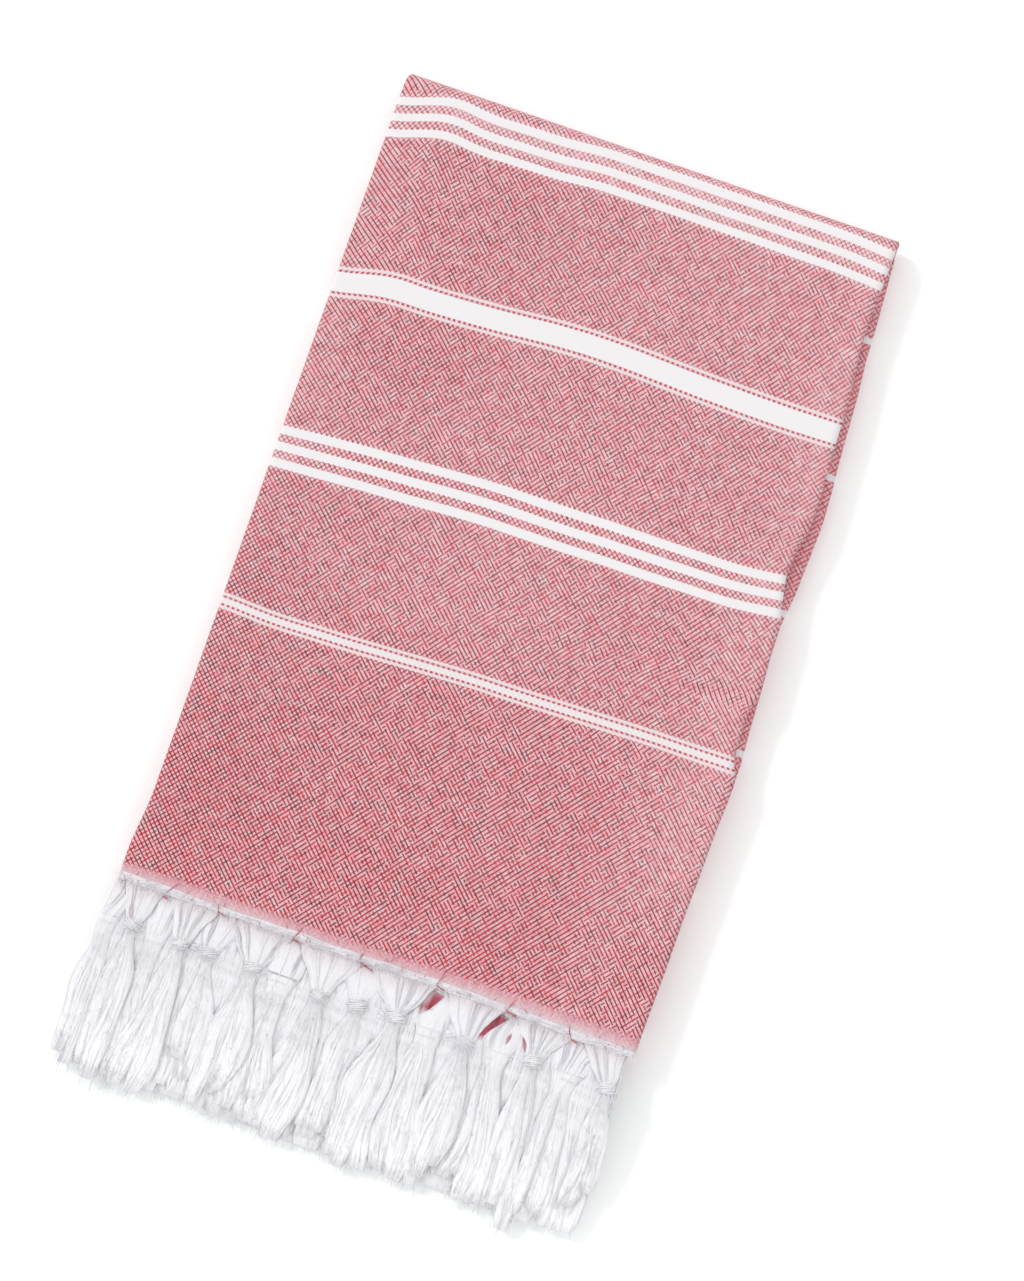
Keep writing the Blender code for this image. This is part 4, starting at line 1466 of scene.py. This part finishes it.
def add_loose_locks(bundle, hem, root_height, settings, rng):
    """Locks of loose yarn that fill the gaps between the tassels in front of them."""
    place = LOOSE_ENDS[0]
    while place < LOOSE_ENDS[1]:
        shape = dict(zip(TASSEL_COLUMNS, (
            place / MM - LOOSE_HALF_ROOT, place / MM + LOOSE_HALF_ROOT, place / MM,
            COVERED_KNOT, place / MM * (1.0 + COVERED_SPREAD),
            rng.uniform(*LOOSE_TIP) / MM)))
        lock = LooseLock(shape, LOOSE_LAYER - 0.5, hem, root_height, rng)
        add_core(bundle, lock)
        add_strands(bundle, lock, LOOSE_STRANDS, settings.yarn_radius, rng)
        place += LOOSE_PITCH


def add_fuzz(bundle, roots, lean, length, rng):
    """Short stray fibres from roots, each aslant by up to lean from the tassels' way."""
    count = len(roots)
    one_each = (count, 1)
    turn = rng.normal(0.0, lean, count)
    reach = rng.uniform(*length, count)
    stops = np.linspace(0.0, 1.0, 5)
    heading = turn[:, None] + rng.normal(0.0, 0.9, one_each) * stops ** 2
    x = roots[:, :1] + np.sin(heading) * reach[:, None] * stops
    y = roots[:, 1:2] - np.cos(heading) * reach[:, None] * stops
    arch = rng.uniform(0.2, 1.0, one_each) * MM * np.sin(np.pi * stops * 0.8)
    z = np.maximum(roots[:, 2:3] + arch, 2.0 * FUZZ_RADIUS)
    radii = FUZZ_RADIUS * rng.uniform(0.7, 1.3, one_each) * (1.0 - 0.5 * stops)
    # Painted light: the fibres are drawn lighter than most of the yarn, against the grey of their
    # own shade
    bundle.add(np.stack((x, y, z), axis=-1), radii, 3, UPWARD, rng.uniform(0.7, 1.2, count))


def add_tassel_fuzz(bundle, tassel, rng):
    """Stray fibres on a top tassel, most of them at its knot."""
    # How many, from and to which distance, how far aslant, and on which lock
    sets = [(BODY_FUZZ // len(tassel.locks), FREE_FROM, lock["length"], 0.5, lock)
            for lock in tassel.locks]
    if tassel.knotted:
        sets.insert(0, (KNOT_FUZZ, tassel.knot - 3.0 * MM, tassel.knot + 4.0 * MM, 1.3, None))
    for count, low, high, lean, lock in sets:
        distance = high - (high - low) * rng.uniform(0.0, 1.0, count) ** 1.5
        angle = rng.uniform(0.1, 0.9, count) * math.pi
        roots = tassel.point(distance, np.cos(angle), np.sin(angle), lock)
        if lock is None:
            roots[:, 2] += 1.2 * MM * np.sin(angle)
        add_fuzz(bundle, settle(roots), lean, TASSEL_FUZZ_LENGTH, rng)


def hem_line(x):
    """Middle of the yarns along the hem, at each x."""
    return np.interp(x, column(HEM_LINE, "x") * MM, column(HEM_LINE, "y") * MM)


def on_cloth(x, y, height):
    """Points at a place seen from above, with their height as the cloth lies there."""
    points = np.stack(np.broadcast_arrays(x, y, height), axis=-1)
    placed = creased(settle(points))
    placed[..., 1] = points[..., 1]
    return placed


def add_hem_yarns(bundle, rng):
    """The loose white yarns along the hem, and the fuzz over them."""
    x = np.linspace(-HALF_WIDTH + 1.0 * MM, SELVAGE_TOP, HEM_YARN_POINTS)
    for n in range(HEM_YARNS):
        phases = rng.uniform(0.0, FULL_TURN, 4)
        off = HEM_YARN_SPREAD * (2.0 * n / (HEM_YARNS - 1.0) - 1.0)
        off = off + 0.3 * MM * ripple(x, 11.0 * MM, phases[0])
        off = off + 0.15 * MM * ripple(x, 3.4 * MM, phases[1])
        height = HEM_TOP + (0.5 + 0.12 * ripple(x, 6.0 * MM, phases[2])) * MM
        radii = HEM_YARN_RADIUS * (1.0 + 0.2 * ripple(x, 4.7 * MM, phases[3]))
        stain = 0.03 + 0.07 * n / HEM_YARNS + 0.03 * ripple(x, 8.0 * MM, phases[1])
        path = on_cloth(x, hem_line(x) + off, height)
        bundle.add(path[None], radii[None], 4, UPWARD, 0.75, stain[None])
    x = rng.uniform(-HALF_WIDTH, SELVAGE_TOP, HEM_FUZZ)
    y = hem_line(x) + rng.normal(0.0, 1.1 * MM, HEM_FUZZ)
    roots = on_cloth(x, y, HEM_TOP + HEM_FUZZ_HEIGHT)
    add_fuzz(bundle, roots, 0.9, HEM_FUZZ_LENGTH, rng)


def make_fringe(name, hem, bundle_number, settings, material):
    """The tassels of one hem, one set for each of its plies, and the loose yarn that
    shows at the upper one."""
    rng = np.random.default_rng(SEED + bundle_number)
    way = 1.0 if bundle_number == UPPER_BUNDLE else -1.0
    base = (bundle_number + 0.5) * BUNDLE_PITCH - STACK_DROP
    strands, loose = Bundle(), Bundle()
    for slot in range(PLIES):
        layer = layer_of(bundle_number, slot)
        root_height = base + way * (slot + 0.5 - PLIES / 2.0) * PLY_PITCH
        for number, shape in enumerate(tassels_of(layer)):
            tassel = Tassel(shape, layer, hem, root_height, rng)
            for tuft in TUFTS:
                if (tuft["layer"], tuft["tassel"]) == (layer, number):
                    add_tuft(strands, tassel, tuft, rng)
            add_core(strands, tassel)
            count = settings.top_strands if tassel.on_top else settings.covered_strands
            count = max(int(round(count * tassel.bulk ** 1.5 / len(tassel.locks))), 9)
            for lock in tassel.locks:
                add_strands(strands, tassel, count, settings.yarn_radius, rng, lock)
            if tassel.knotted or not tassel.on_top:
                add_knot(strands, tassel, settings, rng)
            if tassel.on_top:
                add_tassel_fuzz(loose, tassel, rng)
    pieces = [new_object(name + "_yarns", strands.mesh(name + "_yarns"), material)]
    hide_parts(name)
    if bundle_number == UPPER_BUNDLE:
        add_loose_locks(loose, hem, base, settings, rng)
        add_hem_yarns(loose, rng)
        pieces.append(new_object(name + "_loose", loose.mesh(name + "_loose"), material))
    return pieces


def make_hem_threads(colour):
    """Short crimson threads of the cloth at the hem, most where two top tassels part."""
    rng = np.random.default_rng(SEED)
    strands = Bundle()
    stops = np.linspace(0.0, 1.0, 9)

    def add_thread(start, end, radius, bow):
        path = start + (end - start) * stops[:, None]
        path[:, 0] += bow * np.sin(np.pi * stops)
        height = HEM_TOP + THREAD_HEIGHT + 0.2 * MM * np.sin(np.pi * stops)
        placed = on_cloth(path[:, 0], path[:, 1], height)
        placed[:, 0] = path[:, 0]
        radii = radius * (1.0 - 0.4 * np.abs(2.0 * stops - 1.0) ** 3)
        strands.add(placed[None], radii[None], 4, UPWARD, 0.5)

    for dash in DASHES:
        middle = np.array((dash["x"], dash["y"])) * MM
        half = np.array((dash["length"] / 2.0, DASH_SLOPE * dash["length"])) * MM
        for n in range(DASH_THREADS):
            shift = rng.uniform(-0.4, 0.4, 2) * MM
            add_thread(middle - half + shift, middle + half * rng.uniform(0.5, 1.0) + shift,
                       rng.uniform(0.16, 0.26) * MM, 0.0)
        rise = np.array((dash["lean"] * dash["up"], dash["up"])) * MM
        add_thread(middle - half, middle - half + rise, 0.2 * MM, rng.uniform(-0.6, 0.6) * MM)
    for x in rng.uniform(-HALF_WIDTH, SELVAGE_TOP, HEM_TICKS):
        start = np.array((x, hem_line(x) + rng.uniform(-2.5, 3.0) * MM))
        lean = rng.normal(0.0, 0.5)
        reach = rng.uniform(0.8, 3.0) * MM
        add_thread(start, start + reach * np.array((math.sin(lean), math.cos(lean))),
                   rng.uniform(0.09, 0.15) * MM, rng.uniform(-0.2, 0.2) * MM)
    piece = new_object("hem_threads", strands.mesh("hem_threads"), red_thread(colour))
    return piece


# ---------------------------------------------------------------- stage


# Camera of the photograph, worked out from the folded cloth's four corners
LOOK_AT = Vector((10.7, -40.3, 20.0)) * MM
CAMERA_TILT = math.radians(6.78)        # from straight down
CAMERA_TURN = math.radians(18.82)
LENS = 112.4                            # mm
SENSOR = 36.0                           # mm wide
KEY_FROM = Vector((-0.69, 0.25, 0.69))
KEY_SOFTNESS = math.radians(9.0)
FLOOR_REACH = 4.0
FLOOR_DROP = 0.2 * MM


def make_floor(colour):
    """The pale floor that the towel lies on."""
    shades = Shades("pale_floor")
    bpy.ops.mesh.primitive_circle_add(vertices=96, radius=FLOOR_REACH, fill_type="NGON",
                                      location=(0.0, 0.0, -FLOOR_DROP))
    floor = bpy.context.object
    floor.name = "floor"
    floor.data.materials.append(
        shades.finished((*colour, 1.0), roughness=0.9, specular=0.1))


def make_lights(settings):
    """Soft light from all sides, and a sun from the left."""
    world = bpy.data.worlds.new("soft_room")
    bpy.context.scene.world = world
    world.use_nodes = True
    background = world.node_tree.nodes["Background"]
    background.inputs["Color"].default_value = (1.0, 1.0, 1.0, 1.0)
    background.inputs["Strength"].default_value = settings.sky_strength
    bpy.ops.object.light_add(type="SUN", location=KEY_FROM)
    key = bpy.context.object
    key.name = "key_light"
    key.data.energy = settings.key_strength
    key.data.angle = KEY_SOFTNESS
    key.rotation_euler = KEY_FROM.to_track_quat("Z", "Y").to_euler()


def make_camera(distance):
    """The photograph's camera, aimed by its tilt and turn."""
    turned_x = Vector((math.cos(CAMERA_TURN), math.sin(CAMERA_TURN), 0.0))
    turned_y = Vector((-math.sin(CAMERA_TURN), math.cos(CAMERA_TURN), 0.0))
    up = Vector((0.0, 0.0, 1.0))
    back = up * math.cos(CAMERA_TILT) - turned_y * math.sin(CAMERA_TILT)
    upward = turned_y * math.cos(CAMERA_TILT) + up * math.sin(CAMERA_TILT)
    camera = bpy.data.objects.new("camera", bpy.data.cameras.new("camera"))
    bpy.context.scene.collection.objects.link(camera)
    camera.data.sensor_fit = "HORIZONTAL"
    camera.data.sensor_width = SENSOR
    camera.data.lens = LENS
    camera.data.clip_end = 20.0
    turn = Matrix((turned_x, upward, back)).transposed()
    camera.matrix_world = Matrix.LocRotScale(LOOK_AT + back * distance, turn.to_quaternion(),
                                             None)
    bpy.context.scene.camera = camera


# ---------------------------------------------------------------- add-on


class TOWEL_OT_cloth(bpy.types.Operator):
    """Make the folded striped cloth"""

    bl_idname = "towel.make_cloth"
    bl_label = "Make cloth"

    def execute(self, context):
        make_cloth(context.scene.towel_cloth)
        return {"FINISHED"}


class TOWEL_OT_fringe(bpy.types.Operator):
    """Make the knotted fringe of both hems, and the threads beside it"""

    bl_idname = "towel.make_fringe"
    bl_label = "Make fringe"

    def execute(self, context):
        settings = context.scene.towel_fringe
        yarn = cotton_yarn(settings)
        pieces = make_fringe("fringe_upper", HEM_UPPER, UPPER_BUNDLE, settings, yarn)
        pieces += make_fringe("fringe_lower", HEM_LOWER, LOWER_BUNDLE, settings, yarn)
        pieces.append(make_hem_threads(context.scene.towel_cloth.crimson))
        return {"FINISHED"}


class TOWEL_OT_stage(bpy.types.Operator):
    """Make the pale floor, the soft light and the camera"""

    bl_idname = "towel.make_stage"
    bl_label = "Make stage"

    def execute(self, context):
        settings = context.scene.towel_stage
        bpy.ops.object.select_all(action="DESELECT")
        make_floor(settings.floor)
        make_lights(settings)
        make_camera(settings.distance)
        context.scene.view_settings.view_transform = "Standard"
        return {"FINISHED"}


class TOWEL_PT_panel(bpy.types.Panel):
    """The towel's settings, with a button under each group"""

    bl_idname = "TOWEL_PT_panel"
    bl_label = "Towel"
    bl_space_type = "VIEW_3D"
    bl_region_type = "UI"
    bl_category = "Towel"

    def draw(self, context):
        for name, operator in (("towel_cloth", TOWEL_OT_cloth), ("towel_fringe", TOWEL_OT_fringe),
                               ("towel_stage", TOWEL_OT_stage)):
            settings = getattr(context.scene, name)
            box = self.layout.box()
            for setting in type(settings).__annotations__:
                box.prop(settings, setting)
            box.operator(operator.bl_idname)


CLASSES = (ClothSizes, FringeSizes, StageSettings, TOWEL_OT_cloth, TOWEL_OT_fringe,
           TOWEL_OT_stage, TOWEL_PT_panel)


def register():
    """Adds the settings, the operators and the panel."""
    for entry in CLASSES:
        bpy.utils.register_class(entry)
    bpy.types.Scene.towel_cloth = PointerProperty(type=ClothSizes)
    bpy.types.Scene.towel_fringe = PointerProperty(type=FringeSizes)
    bpy.types.Scene.towel_stage = PointerProperty(type=StageSettings)


def unregister():
    """Takes them out again."""
    del bpy.types.Scene.towel_stage
    del bpy.types.Scene.towel_fringe
    del bpy.types.Scene.towel_cloth
    for entry in reversed(CLASSES):
        bpy.utils.unregister_class(entry)


def main():
    """Makes the towel and its stage."""
    register()
    bpy.ops.towel.make_cloth()
    bpy.ops.towel.make_fringe()
    bpy.ops.towel.make_stage()


if __name__ == "__main__":
    main()
